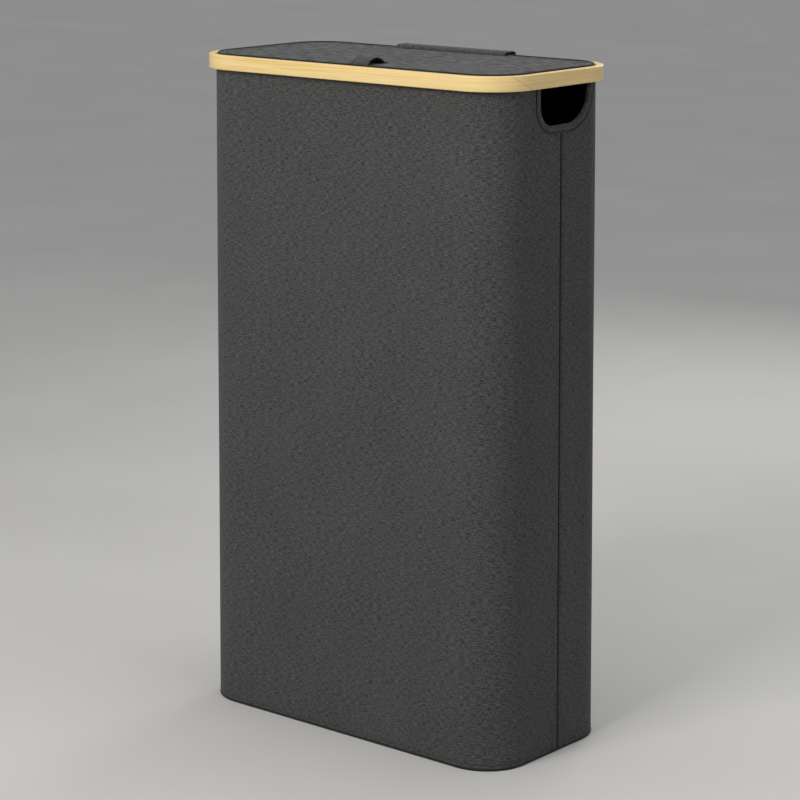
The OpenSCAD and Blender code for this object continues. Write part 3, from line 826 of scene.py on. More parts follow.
def outer_panel(name, end, shift):
    """The cloth of the front or the rear, from seam to seam."""
    core, arrow = half_loop(end == "front")
    flat = wall_grid(core, arrow, panel_rows, 0)
    s = lengths(core + arrow * uv_r)
    from_end = np.minimum(s, s[-1] - s)
    welt = welt_h * np.exp(-((from_end - welt_at) / welt_w) ** 2) - tuck_depth * np.exp(-from_end / tuck_w)
    up_wall = np.clip((panel_rows - wall_low) / (neck_z - wall_low), 0, 1)
    hold = np.clip(from_end / calm_edge, 0, 1)[:, None] * np.sin(np.pi * up_wall)[None]
    swell = welt[:, None] * (panel_rows < neck_z)[None] + uneven_h * uneven(flat, 21.0, shift) * hold
    outer = wall_grid(core, arrow, panel_rows, 0, swell)
    inner = wall_grid(core, arrow, panel_rows, fabric_t, np.minimum(swell, 0))
    piece = cut_hand_holes(solid_between(name, outer, inner, s, panel_rows))
    dress(piece, melange, "root", f"{end}_panel", slot="outer_fabric")
    print(name, "length", round(float(s[-1]), 4), "faces", len(piece.data.polygons))


outer_panel("front_cloth", "front", 1.0)
outer_panel("rear_cloth", "rear", 2.6)


# %% [markdown]
# ## The inside of the walls
# The lining is one tube of thin black cloth, cut away at the hand cutouts too. It is built like the
# panels, but it closes on itself, so its first column of faces meets its last. Flat tapes cover the
# inside of the seams.

# %% Lining and seam tapes
def ring_layer(name, depth, thick, low, high):
    """A tube of cloth at a depth in the wall, and its length round."""
    core, arrow = round_loop()
    rows = wall_rows(low, high)
    outer, inner = wall_grid(core, arrow, rows, depth), wall_grid(core, arrow, rows, depth + thick)
    s = lengths(core + arrow * uv_r, True)
    return cut_hand_holes(solid_between(name, outer, inner, s, rows, ring=True)), float(s[-1])


lining_gap = 0.02 * MM
lining, lining_length = ring_layer("body_lining_cloth", fabric_t + board_t + lining_gap, lining_t - 0.04 * MM,
                                   wall_low, wall_top)
dress(lining, lining_cloth, "root", "body_lining", slot="lining_fabric")
for side in sides:
    tape = soft_copy(f"{side}_seam_tape_strip", f"{side}_seam_tape", bevel=0.25 * MM)
    dress(tape, tape_black, "root", f"{side}_seam_tape", slot="trim_tape")
print("lining length", round(lining_length, 4))

# %% [markdown]
# ## The bound hand cutouts
# A strip of the body's own cloth is folded over the raw edge of each cutout, through all the layers of
# the wall. It is a rounded strap that follows the cutout's edge, thicker than the wall, with both ends
# tucked up under the rim. Its ends overlap at the lowest point, which leaves a small lump there. A thin
# dark cord lies round the outside, where the binding meets the panel. It is painted shade: a dark strip
# in place of the shadow in the gap between the binding and the panel.

# %% Cutout bindings
edge_step, edge_top = 2.5 * MM, neck_z - 0.2 * MM
lump_half, lump_out, lump_up = 4 * MM, 0.28, 0.12


def along_cutout(s, grow, depth):
    """A path along a cutout's edge at a depth in the wall, and the way the wall looks there."""
    edge = cutout_curve(grow, top=edge_top, steps=18)
    edge = arc_path(edge if s > 0 else edge[::-1], edge_step)
    x, looks = wall_place(edge[:, 0], edge[:, 1], depth)
    outward = np.column_stack([s * looks[:, 0], looks[:, 1], np.zeros(len(edge))])
    return np.column_stack([s * x, edge]), outward


def binding(side):
    """The binding of one cutout, and the dark cord round it, which is painted shade in place of the shadow
    gap at its outer edge.
    """
    s = sides[side]
    piece = strap(f"{side}_cutout_tape", *along_cutout(s, binding_w / 2, wall_t / 2), binding_w,
                  wall_t + 2 * binding_proud, radius=1.3 * MM, across=6)
    for v in piece.data.vertices:
        lump = math.exp(-((v.co.y - cutout_y) / lump_half) ** 2) * (v.co.z < cutout_low + 2 * MM)
        middle = s * float(wall_place(v.co.y, v.co.z, wall_t / 2)[0])
        v.co.x += (v.co.x - middle) * lump_out * lump
        v.co.z += (v.co.z - (cutout_low - binding_w / 2)) * lump_up * lump
    dress(piece, melange, "root", f"{side}_cutout_binding", slot="trim_tape")
    # A thin black strip just outside the binding: painted shade, standing in for the shadow where the binding
    # meets the panel.
    cord = strap(f"{side}_cutout_edge_cord", *along_cutout(s, binding_w + 0.2 * MM, -0.35 * MM), 1.5 * MM,
                 1.3 * MM, 0.6 * MM, across=2)
    dress(cord, tape_black, "root", slot="trim_tape")
    return piece


print("bindings", [len(binding(side).data.polygons) for side in sides])

# %% [markdown]
# ## The base
# A round black piping closes the bottom edge, and a fabric floor is sewn to it. The loose base board
# lies on top, covered in black cloth. The piping comes from the same bent strip tree as the rim.

# %% Base piping, floor and board
piping = bent("base_piping_cord", outline_at(base_inset + 2.05 * MM), 1.5 * MM, 4.9 * MM, 3 * MM, 1.4 * MM,
              tape_black)


def uv_layer(piece):
    """The piece's UV map, made if it has none."""
    return piece.data.uv_layers.get("UVMap") or piece.data.uv_layers.new(name="UVMap")


def uv_by_side(piece):
    """A UV map in metres, laid on by the way each face looks."""
    layer = uv_layer(piece)
    for f in piece.data.polygons:
        for k in f.loop_indices:
            layer.data[k].uv = face_uv(piece.data.vertices[piece.data.loops[k].vertex_index].co, f.normal)
    return piece


def uv_along_strip(piece):
    """A UV map from the strip attribute: along the strip, and up it."""
    layer = uv_layer(piece)
    strip = piece.data.attributes["strip"].data
    for f in piece.data.polygons:
        places = [strip[piece.data.loops[k].vertex_index].vector for k in f.loop_indices]
        far = max(p[0] for p in places)
        for k, p in zip(f.loop_indices, places):
            u = p[0] + (far + 0.006 if far - p[0] > 0.1 else 0)
            layer.data[k].uv = (u, p[2] + p[1])
    return piece


dress(uv_along_strip(piping), tape_black, "root", "base_piping", slot="trim_tape")
floor_cloth = soft_copy("floor_panel_cloth", "base_panel", bevel=0.4 * MM)
dress(floor_cloth, lining_cloth, "root", "base_panel", slot="lining_fabric")
board_cover = soft_copy("covered_base_board", "base_board", bevel=0.9 * MM)
dress(board_cover, lining_cloth, "root", "base_board", slot="covered_board")

# %% [markdown]
# ## The lid
# The lid is a board with a thin padding, wrapped in the melange cloth. Its top is almost flat, with a
# dark strip bound round its edge and a line of stitches a little way in. The cloth's shape comes from a
# short cloth simulation: the sheet is held along its border and where things are sewn to it, and a light
# pressure fills it. Points that lie on each other are welded first, or the solver can't move them. The
# result is scaled to a crown of less than a millimetre, because the real lid is nearly flat.

# %% Plan grid of the lid
lid_r = lid_high.y - core_y
lid_core, lid_arrow = round_loop(step=7 * MM, turn=14)
lid_top, lid_skirt = lid_high.z, lid_low.z
border, crown = 9 * MM, 0.9 * MM
top_drop, sewn_margin = 0.15 * MM, 3 * MM
dimple_depth, dimple_half = 0.35 * MM, 1.6 * MM
loop_low, loop_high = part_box("finger_loop")
foot_low, foot_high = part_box("flap_foot")


def lid_rings():
    """Rings of the lid's top from its edge to a middle line: (radius, squeeze of the core)."""
    rings = [(lid_r - d * MM, 0.0) for d in (2.8, 4, 5.5, 7, 8.2, 9, 9.8, 11, 14, 18, 23, 28, 33, 37)]
    rings += [(1.5 * MM, 0.08)]
    rings += [(0.0, t) for t in np.linspace(0.2, 1.0, 7)]
    return rings


def plan_ring(radius, squeeze):
    """One ring of the lid's plan, its core squeezed towards the middle line."""
    spine = np.column_stack([lid_core[:, 0] * (1 - 0.32 * squeeze), lid_core[:, 1] * (1 - squeeze)])
    return spine + lid_arrow * radius


def simulated_rise(points, rings_n, held):
    """Runs a cloth simulation of the sheet under a light pressure and returns how far each point rose."""
    n, weld = len(lid_core), 0.5 * MM
    first = {}
    welded = [first.setdefault(tuple(np.round(p / weld).astype(int)), len(first)) for p in points]
    verts, share = np.zeros((len(first), 3)), np.zeros(len(first))
    verts[welded] = points
    np.maximum.at(share, welded, held)
    faces = []
    for j in range(rings_n - 1):
        for i in range(n):
            cell = (j * n + i, j * n + (i + 1) % n, (j + 1) * n + (i + 1) % n, (j + 1) * n + i)
            corners = list(dict.fromkeys(welded[k] for k in cell))
            if len(corners) > 2:
                faces.append(corners)
    mesh = bpy.data.meshes.new("lid_sheet")
    mesh.from_pydata([tuple(p) for p in verts], [], faces)
    sheet = in_scene("lid_sheet", mesh)
    group = sheet.vertex_groups.new(name="held")
    group.add([int(k) for k in np.nonzero(share)[0]], 1.0, "REPLACE")
    cloth = sheet.modifiers.new("cloth", "CLOTH")
    cloth.settings.vertex_group_mass = "held"
    cloth.settings.quality = 5
    cloth.settings.mass = 0.02
    cloth.settings.tension_stiffness = cloth.settings.compression_stiffness = 5
    cloth.settings.bending_stiffness = 0.05
    cloth.settings.use_pressure = True
    cloth.settings.uniform_pressure_force = 4.0
    cloth.settings.effector_weights.gravity = 0.0
    cloth.collision_settings.use_collision = False
    for f in range(1, 21):
        bpy.context.scene.frame_set(f)
    graph = bpy.context.evaluated_depsgraph_get()
    done = sheet.evaluated_get(graph).to_mesh()
    rise = (np.array([v.co.z for v in done.vertices]) - verts[:, 2])[welded]
    bpy.data.objects.remove(sheet)
    bpy.context.scene.frame_set(1)
    return rise


def lid_top_grid():
    """Rings of points over the lid's top, raised by the simulation and dimpled along the stitches."""
    rings, n = lid_rings(), len(lid_core)
    flat = np.vstack([np.column_stack([plan_ring(*r), np.full(n, lid_top - top_drop)]) for r in rings])
    held = np.zeros(len(flat))
    edge = np.concatenate([np.full(n, lid_r - r[0] + (1 if r[1] > 0 else 0)) for r in rings])
    held[edge < border + 0.3 * MM] = 1.0
    x, y = flat[:, 0], flat[:, 1]
    for low, high in ((loop_low, loop_high), (foot_low, foot_high)):
        inside = (x > low.x - sewn_margin) & (x < high.x + sewn_margin)
        held[inside & (y > low.y - sewn_margin) & (y < high.y + sewn_margin)] = 1.0
    rise = simulated_rise(flat, len(rings), held)
    print("simulated rise", np.round([rise.min() / MM, rise.max() / MM], 3), "mm")
    rise = np.maximum(rise, 0) * crown / max(float(rise.max()), 0.01 * MM)
    print("lid cloth rises by", np.round([rise.min() / MM, rise.max() / MM], 2), "mm")
    flat[:, 2] += rise - dimple_depth * np.exp(-((edge - border) / dimple_half) ** 2)
    return flat.reshape(len(rings), n, 3)


# %% Lid cover
cover_r, cover_edge_r = lid_r - 1.2 * MM, 1.1 * MM
cover_floor = lid_top - 1.15 * MM


def lid_cover():
    """The lid's cloth: a short skirt, a rounded edge and the top, with its own thickness."""
    top = lid_top_grid()
    edge = []
    for a in np.linspace(0, 90, 7):
        c, s = math.cos(math.radians(a)), math.sin(math.radians(a))
        edge.append(ring_points(lid_core, lid_arrow, cover_r - cover_edge_r + cover_edge_r * c,
                                lid_top - top_drop - cover_edge_r + cover_edge_r * s))
    skirt = [ring_points(lid_core, lid_arrow, cover_r, lid_skirt + up * MM) for up in (0.1, 1.5)]
    outer = np.array(skirt + edge + list(top))
    inner = outer.copy()
    for j in range(len(outer)):
        if j < len(skirt) + len(edge) - 1:
            from_core = np.linalg.norm(outer[j, :, :2] - lid_core, axis=1)[:, None]
            inner[j, :, :2] = lid_core + lid_arrow * (from_core - fabric_t)
        sunk = fabric_t if j >= len(skirt) + 2 else 0
        inner[j, :, 2] = np.minimum(outer[j, :, 2] - sunk, cover_floor)
    outer, inner = outer.transpose(1, 0, 2), inner.transpose(1, 0, 2)
    rows = np.arange(outer.shape[1], dtype=float)
    columns = np.arange(len(lid_core) + 1.0)
    return uv_by_side(solid_between("lid_cover_cloth", outer, inner, columns, rows, ring=True, merge=2e-6))


lid_cloth = lid_cover()
dress(lid_cloth, lid_melange, "lid", "lid_cover", "lid_padding", slot="outer_fabric")
print("lid faces", len(lid_cloth.data.polygons))

# %% Lid edge strip and underside
edge_low, edge_high = lid_low.z - 1.1 * MM, lid_top + 0.8 * MM
lid_edge = bent("lid_edge_piping", (lid_core, lid_arrow, lid_r - 0.7 * MM), (edge_low + edge_high) / 2,
                1.4 * MM, edge_high - edge_low, 0.65 * MM, tape_black, 3)
dress(uv_along_strip(lid_edge), tape_black, "lid", "lid_piping", slot="trim_tape")
under_lid = soft_copy("lid_underside_cloth", "lid_lining", bevel=0.3 * MM)
dress(under_lid, lining_cloth, "lid", "lid_lining", slot="lining_fabric")

# %% [markdown]
# ## Straps and flap
# The finger loop and the hinge flap are straps of the same cloth, folded double. The flap crosses the
# hinge, so it can't ride on one body: its two halves, one from the body to the hinge and one from the
# hinge to the lid, are put on no body here. Both halves have many rows across their bends, or they would
# crease.

# %% Finger loop
loop_x, loop_mid = (loop_low.x + loop_high.x) / 2, (loop_low.y + loop_high.y) / 2
loop_w = float(loop_high.x - loop_low.x)
strap_t, loop_half, loop_end = 1.2 * MM, 13 * MM, 5 * MM
groove_depth, groove_half = 0.4 * MM, 0.8 * MM


def loop_path():
    """The arch of the loop and its two sewn ends."""
    rise = loop_high.z - lid_top - strap_t
    r = (loop_half ** 2 + rise ** 2) / (2 * rise)
    reach = math.asin(loop_half / r)
    arch = [(loop_x, loop_mid + r * math.sin(a), lid_top + rise - r + r * math.cos(a) + strap_t / 2)
            for a in np.linspace(-reach, reach, 33)]
    end_z = lid_top + strap_t / 2 + 0.05 * MM
    first = [(loop_x, loop_mid - loop_half - loop_end - 0.3 * MM, end_z)]
    last = [(loop_x, loop_mid + loop_half + loop_end + 0.3 * MM, end_z)]
    return arc_path(first + arch + last, 1.2 * MM)


def face_dirs(path, sideways):
    """The direction that a strap's face looks: square to its path and to its width."""
    t = np.gradient(path, axis=0)
    n = np.cross(sideways, t)
    return n / np.linalg.norm(n, axis=1)[:, None]


path = loop_path()
finger_loop = strap("finger_loop_strap", path, face_dirs(path, [1, 0, 0]), loop_w, strap_t, 0.55 * MM,
                    across=20)
for v in finger_loop.data.vertices:
    off = (v.co.x - loop_x - 0.8 * MM) / groove_half
    v.co.z -= groove_depth * math.exp(-off * off) * (v.co.z > lid_top + 0.7 * MM)
dress(finger_loop, melange, "lid", "finger_loop", slot="outer_fabric")

# %% Hinge flap
front_low, front_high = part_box("flap_front_fold")
rear_low, rear_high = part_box("flap_rear_fold")
tail_low, tail_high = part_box("flap_tail")
flap_t, flap_round = 1.2 * MM, 4 * MM
half_t, mid_r = flap_t / 2, flap_round - flap_t / 2
flap_mid_x = (front_low.x + front_high.x) / 2
flap_wide = front_high.x - front_low.x
fold_y = rear_high.y - flap_round
crest = front_high.z - half_t


def corner_arc(y, z, r, a0, a1, n=10):
    """A turn of the flap in the plane of its length."""
    turns = [math.radians(a) for a in np.linspace(a0, a1, n)]
    return [(flap_mid_x, y + r * math.cos(a), z + r * math.sin(a)) for a in turns]


def flap_strap(name, line, sideways, wide=flap_wide):
    """A length of the flap's doubled cloth along a line."""
    return strap(name, line, face_dirs(line, sideways), wide, flap_t, 0.5 * MM, across=24)


front_line = [(flap_mid_x, front_low.y + half_t, lid_top + 0.15 * MM)]
front_line += corner_arc(front_low.y + flap_round, crest - mid_r, mid_r, 180, 90)
front_line += [(flap_mid_x, fold_y, crest)]
rear_line = [(flap_mid_x, fold_y, crest)] + corner_arc(rear_high.y - flap_round, crest - mid_r, mid_r, 90, 0)
rear_line += [(flap_mid_x, rear_high.y - half_t, rear_low.z)]
front_path, rear_path = arc_path(front_line, 0.9 * MM), arc_path(rear_line, 0.9 * MM)
fold_front = flap_strap("hinge_flap_front", front_path, [-1, 0, 0])
fold_rear = flap_strap("hinge_flap_rear", rear_path, [-1, 0, 0])
dress(fold_front, melange, None, "flap_front_fold", slot="outer_fabric")
dress(fold_rear, melange, None, "flap_rear_fold", slot="outer_fabric")
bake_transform(fold_front)
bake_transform(fold_rear)

# %% Flap foot and tail
foot_z = foot_low.z + half_t
foot_ends = [(flap_mid_x, foot_low.y - 1.2 * MM, foot_z), (flap_mid_x, foot_high.y, foot_z)]
foot_line = arc_path(foot_ends, 1.0 * MM)
foot = flap_strap("hinge_flap_foot", foot_line, [1, 0, 0], flap_wide - 0.6 * MM)
dress(foot, melange, "lid", "flap_foot", slot="outer_fabric")


def back_face(z):
    """The walls' outer face at the back, at a height."""
    return float(rim_high.y - wall_inset(z))


tail_gap, strip_t = 0.1 * MM, 1.6 * MM
bend_z, tail_step = neck_z - 12 * MM, 1.6 * MM
tail_points = [(flap_mid_x, rim_high.y + tail_gap + half_t, tail_high.z + 0.2 * MM),
               (flap_mid_x, rim_high.y + tail_gap + half_t, neck_z - 1 * MM),
               (flap_mid_x, rim_high.y - 1.6 * MM, neck_z - 4 * MM),
               (flap_mid_x, back_face(bend_z) + strip_t + half_t + 0.6 * MM, bend_z + 1.5 * MM),
               (flap_mid_x, back_face(tail_low.z) + strip_t + half_t + 0.1 * MM, tail_low.z)]
tail_line = arc_path(tail_points, tail_step)
for _ in range(3):
    tail_line[1:-1, 1] = (tail_line[:-2, 1] + 2 * tail_line[1:-1, 1] + tail_line[2:, 1]) / 4
tail = flap_strap("hinge_flap_tail", tail_line, [-1, 0, 0])
dress(tail, melange, "root", "flap_tail", slot="outer_fabric")
hook_strip = soft_copy("tail_hook_strip", "flap_hook_strip", bevel=0.3 * MM)
dress(hook_strip, hook_black, "root", "flap_hook_strip", slot="hook_tape")

# %% [markdown]
# ## The liner bags
# Two loose grey bags hang side by side from the lining. The mouth is held open by a stiff band, and
# below it the cloth hangs in soft folds that get deeper towards the floor. Each bag is a loft of rings
# that ends in its floor. The folds only go inwards, so that a bag never leaves its own space.

# %% Bag shape
bag_low, bag_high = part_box("right_liner_bag")
bag_t, bag_top, bag_floor = 1.2 * MM, bag_high.z, bag_low.z
bag_outer_r, bag_inner_r = corner_r + 15 * MM - (rim_high.y - bag_high.y), 15 * MM
bag_half, bag_mid_x = bag_high.y, (bag_low.x + bag_high.x) / 2
calm_h, turn_up = 25 * MM, 14 * MM


def bag_stations(step=9 * MM):
    """Points round the right bag's plan, from the middle of its inner side, and the arrows outwards."""
    x0, x1, ri, ro, h = bag_low.x, bag_high.x, bag_inner_r, bag_outer_r, bag_half
    legs = [("line", (x0 + ri, 0), (x0 + ri, -(h - ri)), (-1, 0), ri),
            ("arc", (x0 + ri, -(h - ri)), 180, 270, ri),
            ("line", (x0 + ri, -(h - ri)), (x1 - ro, -(h - ri)), (0, -1), ri),
            ("arc", (x1 - ro, -(h - ro)), 270, 360, ro),
            ("line", (x1 - ro, -(h - ro)), (x1 - ro, h - ro), (1, 0), ro),
            ("arc", (x1 - ro, h - ro), 0, 90, ro),
            ("line", (x1 - ro, h - ri), (x0 + ri, h - ri), (0, 1), ri),
            ("arc", (x0 + ri, h - ri), 90, 180, ri),
            ("line", (x0 + ri, h - ri), (x0 + ri, 0), (-1, 0), ri)]
    points, arrows = [], []
    for leg in legs:
        c, a = plan_stations([leg[:4]], step, 12)
        points.append(c + a * leg[4])
        arrows.append(a)
    return np.vstack(points), np.vstack(arrows)


def bag_folds(t, fall, shift):
    """The folds round a bag, at a turn t and a fall from 0 at the band to 1 at the floor."""
    waves = np.sin(7 * t + shift + 2.2 * fall) + 0.6 * np.sin(13 * t + 1.7 + shift - 3.1 * fall)
    return (waves + 0.5 * np.sin(4 * t + 9 * fall + shift)) / 2.1


def bag_cloth(side):
    """A bag as a loft of rings, down its wall and in over its floor."""
    edge, arrow = bag_stations()
    n = len(edge)
    s = lengths(np.column_stack([edge, np.zeros(n)]), True)
    shift = 0.0 if side == "right" else 2.0
    whole = float(s[-1])
    spine = np.column_stack([bag_mid_x + (edge[:, 0] - bag_mid_x) * 0.1, np.zeros(n)])
    outer, inner, v = [], [], []
    levels = [*np.linspace(bag_top, bag_top - calm_h, 4),
              *np.linspace(bag_top - 36 * MM, bag_floor + turn_up, 44)]
    for z in levels:
        fall = np.clip((bag_top - calm_h - z) / (bag_top - bag_floor), 0, 1)
        fold = bag_folds(2 * math.pi * s[:n] / whole, fall, shift)
        depth = ((0.3 + 5.0 * fall ** 0.8) * MM * (0.5 + 0.5 * fold) * (fall > 0))[:, None]
        outer.append(np.column_stack([edge - arrow * depth, np.full(n, z)]))
        inner.append(np.column_stack([edge - arrow * (depth + bag_t), np.full(n, z)]))
        v.append(z)
    for share in (0.03, 0.08, 0.16, 0.3, 0.5, 0.75, 1.0):
        flat = outer[43][:, :2] * (1 - share) + spine * share
        z = bag_floor + max(0, 14 * (1 - share / 0.16) ** 2 if share < 0.16 else 0) * MM
        ripple = 1 + uneven(np.column_stack([flat, flat[:, 0]]), 45.0, shift)
        rumple = 0.6 * MM * ripple * (share > 0.1)
        outer.append(np.column_stack([flat, np.full(n, z) + 0.1 * MM]))
        inner.append(np.column_stack([flat * (1 - 0.012) + spine * 0.012, np.full(n, z) + bag_t + rumple]))
        v.append(bag_floor - share * 0.08)
    outer, inner = np.array(outer).transpose(1, 0, 2), np.array(inner).transpose(1, 0, 2)
    outer[..., 0] *= sides[side]
    inner[..., 0] *= sides[side]
    piece = solid_between(f"{side}_bag_cloth", outer, inner, s, np.array(v), ring=True, merge=3e-5)
    dress(piece, bag_grey, "root", f"{side}_liner_bag", f"{side}_bag_floor", slot="bag_fabric")
    print(piece.name, "mouth", round(whole, 4), "faces", len(piece.data.polygons))


for side in sides:
    bag_cloth(side)

# %% Bag bands, tabs and patches
band_h, band_t, band_lift = 25 * MM, 1.2 * MM, 0.66 * MM
anchor_w, anchor_t, anchor_x = 18 * MM, 2.5 * MM, 36 * MM
anchor_heights = np.linspace(601 * MM, 609.6 * MM, 6)


def bag_band(side):
    """The stiff band round a bag's mouth, with the four short pieces that hold its handles."""
    s = sides[side]
    edge, arrow = bag_stations(6 * MM)
    edge, arrow = edge * [s, 1], arrow * [s, 1]
    path = np.column_stack([edge + arrow * band_lift, np.full(len(edge), bag_top - band_h / 2)])
    outward = np.column_stack([arrow, np.zeros(len(arrow))])
    name = f"{side}_bag_band_ribbon"
    parts = [strap(name, path, outward, band_h, band_t, 0.5 * MM, ring=True, across=6)]
    for sy in (-1, 1):
        for sx in (-1, 1):
            x, y = s * bag_mid_x + sx * anchor_x, sy * (bag_half - bag_t - 1.3 * MM)
            tall = np.array([(x, y, z) for z in anchor_heights])
            faces = np.tile([0, -sy, 0], (6, 1))
            parts.append(strap(f"end_{sx}_{sy}", tall, faces, anchor_w, anchor_t, 0.8 * MM, across=6))
    dress(joined(name, parts), band_black, "root", f"{side}_bag_band", slot="webbing")


for side in sides:
    bag_band(side)
    tabs = soft_copy(f"{side}_bag_tab_blocks", f"{side}_bag_tabs", bevel=0.8 * MM)
    dress(tabs, webbing_black, "root", f"{side}_bag_tabs", slot="webbing")
patches = soft_copy("lining_hook_patches", "wall_patches", bevel=0.25 * MM)
dress(patches, hook_black, "root", "wall_patches", slot="hook_tape")

# %% Webbing handles
handle_w, handle_t, handle_r = 18 * MM, 1.6 * MM, 17 * MM


def handle(name):
    """A webbing handle that hangs in a U from its two ends, and its path."""
    low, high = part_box(name)
    cx, cy = (low.x + high.x) / 2, (low.y + high.y) / 2
    half, bottom = (high.x - low.x) / 2 - handle_w / 2, low.z + handle_w / 2
    points = [(cx - half, cy, high.z)]
    for s, a0, a1 in ((-1, 180, 270), (1, 270, 360)):
        for a in np.radians(np.linspace(a0, a1, 9)):
            x = cx + s * (half - handle_r) + handle_r * math.cos(a)
            points.append((x, cy, bottom + handle_r + handle_r * math.sin(a)))
    points.append((cx + half, cy, high.z))
    path = arc_path(points, 2.2 * MM)
    outward = np.tile([0, 1, 0], (len(path), 1))
    piece = strap(f"{name}_webbing", path, outward, handle_w, handle_t, 0.6 * MM, across=8)
    dress(piece, webbing_black, name, name, slot="webbing")
    return path


handle_names = [f"{side}_{end}_handle" for side in sides for end in ("front", "rear")]
handle_paths = {name: handle(name) for name in handle_names}
print("handle webbing", round(float(lengths(handle_paths["right_front_handle"])[-1]), 4))

# %% Pole channels
channel_r, channel_hole_r = 3.9 * MM, 3.2 * MM
channel_round, end_reach = 0.0248, 4 * MM

def channel(name):
    """A sewn sleeve round a pole: a thin tube, pinched where its stitches hold it."""
    low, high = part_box(f"{name}_channel")
    verts = np.array([v.co for v in nodes[f"{name}_channel"].data.vertices])
    ends = [verts[verts[:, 2] < low.z + end_reach].mean(0), verts[verts[:, 2] > high.z - end_reach].mean(0)]
    ends[0][2], ends[1][2] = low.z, high.z
    rows, turn = 60, 20
    outer, inner = np.zeros((turn, rows, 3)), np.zeros((turn, rows, 3))
    for j in range(rows):
        t = j / (rows - 1)
        c = ends[0] + (ends[1] - ends[0]) * t
        slack = 0.10 * MM * math.sin(31 * t + low.x * 40) - 0.08 * MM
        for i in range(turn):
            a = 2 * math.pi * i / turn
            d = np.array([math.cos(a), math.sin(a), 0])
            wave = slack * (0.6 + 0.4 * math.sin(3 * a + 9 * t))
            outer[i, j], inner[i, j] = c + d * (channel_r + wave), c + d * channel_hole_r
    u, v = np.linspace(0, channel_round, turn + 1), np.linspace(0, high.z - low.z, rows)
    piece = solid_between(f"{name}_sleeve", outer, inner, u, v, ring=True)
    dress(piece, lining_cloth, "root", f"{name}_channel", slot="channel_fabric")


for name in ("front_right", "front_left", "rear_right", "rear_left"):
    channel(name)

# %% [markdown]
# ## Stitches
# A stitch is a short pad of thread, repeated hundreds of times along a seam, which is what Geometry
# Nodes are for. The tree resamples a path at the stitch pitch, puts a low-poly bead on each point, turns
# it along the path, and varies its length a little from a fixed seed.

# %% A tree that sews along paths
def sewing_tree():
    """Puts a bead of thread on every step of a path, turned along it."""
    tree = new_tree("sewn_row", {"Paths": "Geometry", "Pitch": "Float", "Stitch length": "Float",
                                 "Thread width": "Float", "Unevenness": "Float", "Seed": "Int",
                                 "Thread": "Material"}, "Stitches")
    n = add_nodes(tree, path="GeometryNodeMeshToCurve", even="GeometryNodeResampleCurve",
                  bead="GeometryNodeMeshUVSphere", tangent="GeometryNodeInputTangent",
                  turn="FunctionNodeAlignRotationToVector", vary="FunctionNodeRandomValue",
                  low="ShaderNodeMath", high="ShaderNodeMath", times="ShaderNodeMath",
                  size="ShaderNodeCombineXYZ", put="GeometryNodeInstanceOnPoints",
                  real="GeometryNodeRealizeInstances", smooth="GeometryNodeSetShadeSmooth",
                  paint="GeometryNodeSetMaterial")
    n["even"].mode, n["turn"].axis = "LENGTH", "X"
    n["low"].operation, n["high"].operation, n["times"].operation = "SUBTRACT", "ADD", "MULTIPLY"
    n["low"].inputs[0].default_value = n["high"].inputs[0].default_value = 1.0
    for socket, value in (("Segments", 6), ("Rings", 4), ("Radius", 0.5)):
        n["bead"].inputs[socket].default_value = value
    wire(tree, n, "source.Paths > path.Mesh", "path.Curve > even.Curve", "source.Pitch > even.Length",
         "tangent.0 > turn.Vector", "source.Unevenness > low.1", "source.Unevenness > high.1",
         "low.0 > vary.2", "high.0 > vary.3", "source.Seed > vary.Seed", "vary.1 > times.0",
         "source.Stitch length > times.1", "times.0 > size.0", "source.Thread width > size.1",
         "source.Thread width > size.2", "even.Curve > put.Points", "bead.Mesh > put.Instance",
         "turn.0 > put.Rotation", "size.0 > put.Scale", "put.Instances > real.Geometry",
         "real.Geometry > smooth.Geometry", "smooth.Geometry > paint.Geometry",
         "source.Thread > paint.Material", "paint.Geometry > result.Stitches")
    return tree


sewn_row = sewing_tree()


def sew(name, rows, seed, body, pitch=3.4 * MM, thread=0.45 * MM):
    """Stitches along rows of (points, closed) as one piece on a body."""
    piece = with_tree(name, [r[0] for r in rows], sewn_row, [r[1] for r in rows], Pitch=pitch,
                      Stitch_length=pitch * 0.72, Thread_width=thread, Unevenness=0.12, Seed=seed,
                      Thread=thread_black)
    print(name, "faces", len(piece.data.polygons))
    return dress(piece, thread_black, body, slot="trim_tape")


# %% Rows on the body
over_cloth = 0.1 * MM


def wall_row(z, lift=0.12 * MM):
    """A row all round the body at a height."""
    c, a = round_loop()
    return ring_points(c, a, corner_r - float(wall_inset(z)) + lift, z), True


def seam_line(s, y, lift, low, below, n):
    """A line up a side wall, from a height to a distance below the binding."""
    z = np.linspace(low, cutout_low - binding_w - below, n)
    return np.column_stack([s * (rim_high.x - wall_inset(z) + lift), np.full(n, y), z])


def cutout_row(s, grow, proud):
    """A row round a cutout, at a distance from its edge and a height over the wall."""
    edge = cutout_curve(grow, top=neck_z - 1 * MM, steps=16)
    return np.column_stack([s * wall_place(edge[:, 0], edge[:, 1], -proud)[0], edge]), False


def tail_row(inset):
    """A row down one edge of the tail, along its end and up the other edge."""
    def place(x, z):
        y = float(np.interp(z, tail_line[::-1, 2], tail_line[::-1, 1])) + half_t + over_cloth
        return x, y, z

    x0, x1 = flap_mid_x - flap_wide / 2 + inset, flap_mid_x + flap_wide / 2 - inset
    z0, z1 = tail_low.z + inset, tail_high.z - 2 * MM
    down = [place(x1, z) for z in np.linspace(z1, z0, 24)]
    across = [place(x, z0) for x in np.linspace(x1, x0, 12)]
    up = [place(x0, z) for z in np.linspace(z0, z1, 24)]
    return np.array(down + across[1:-1] + up), False


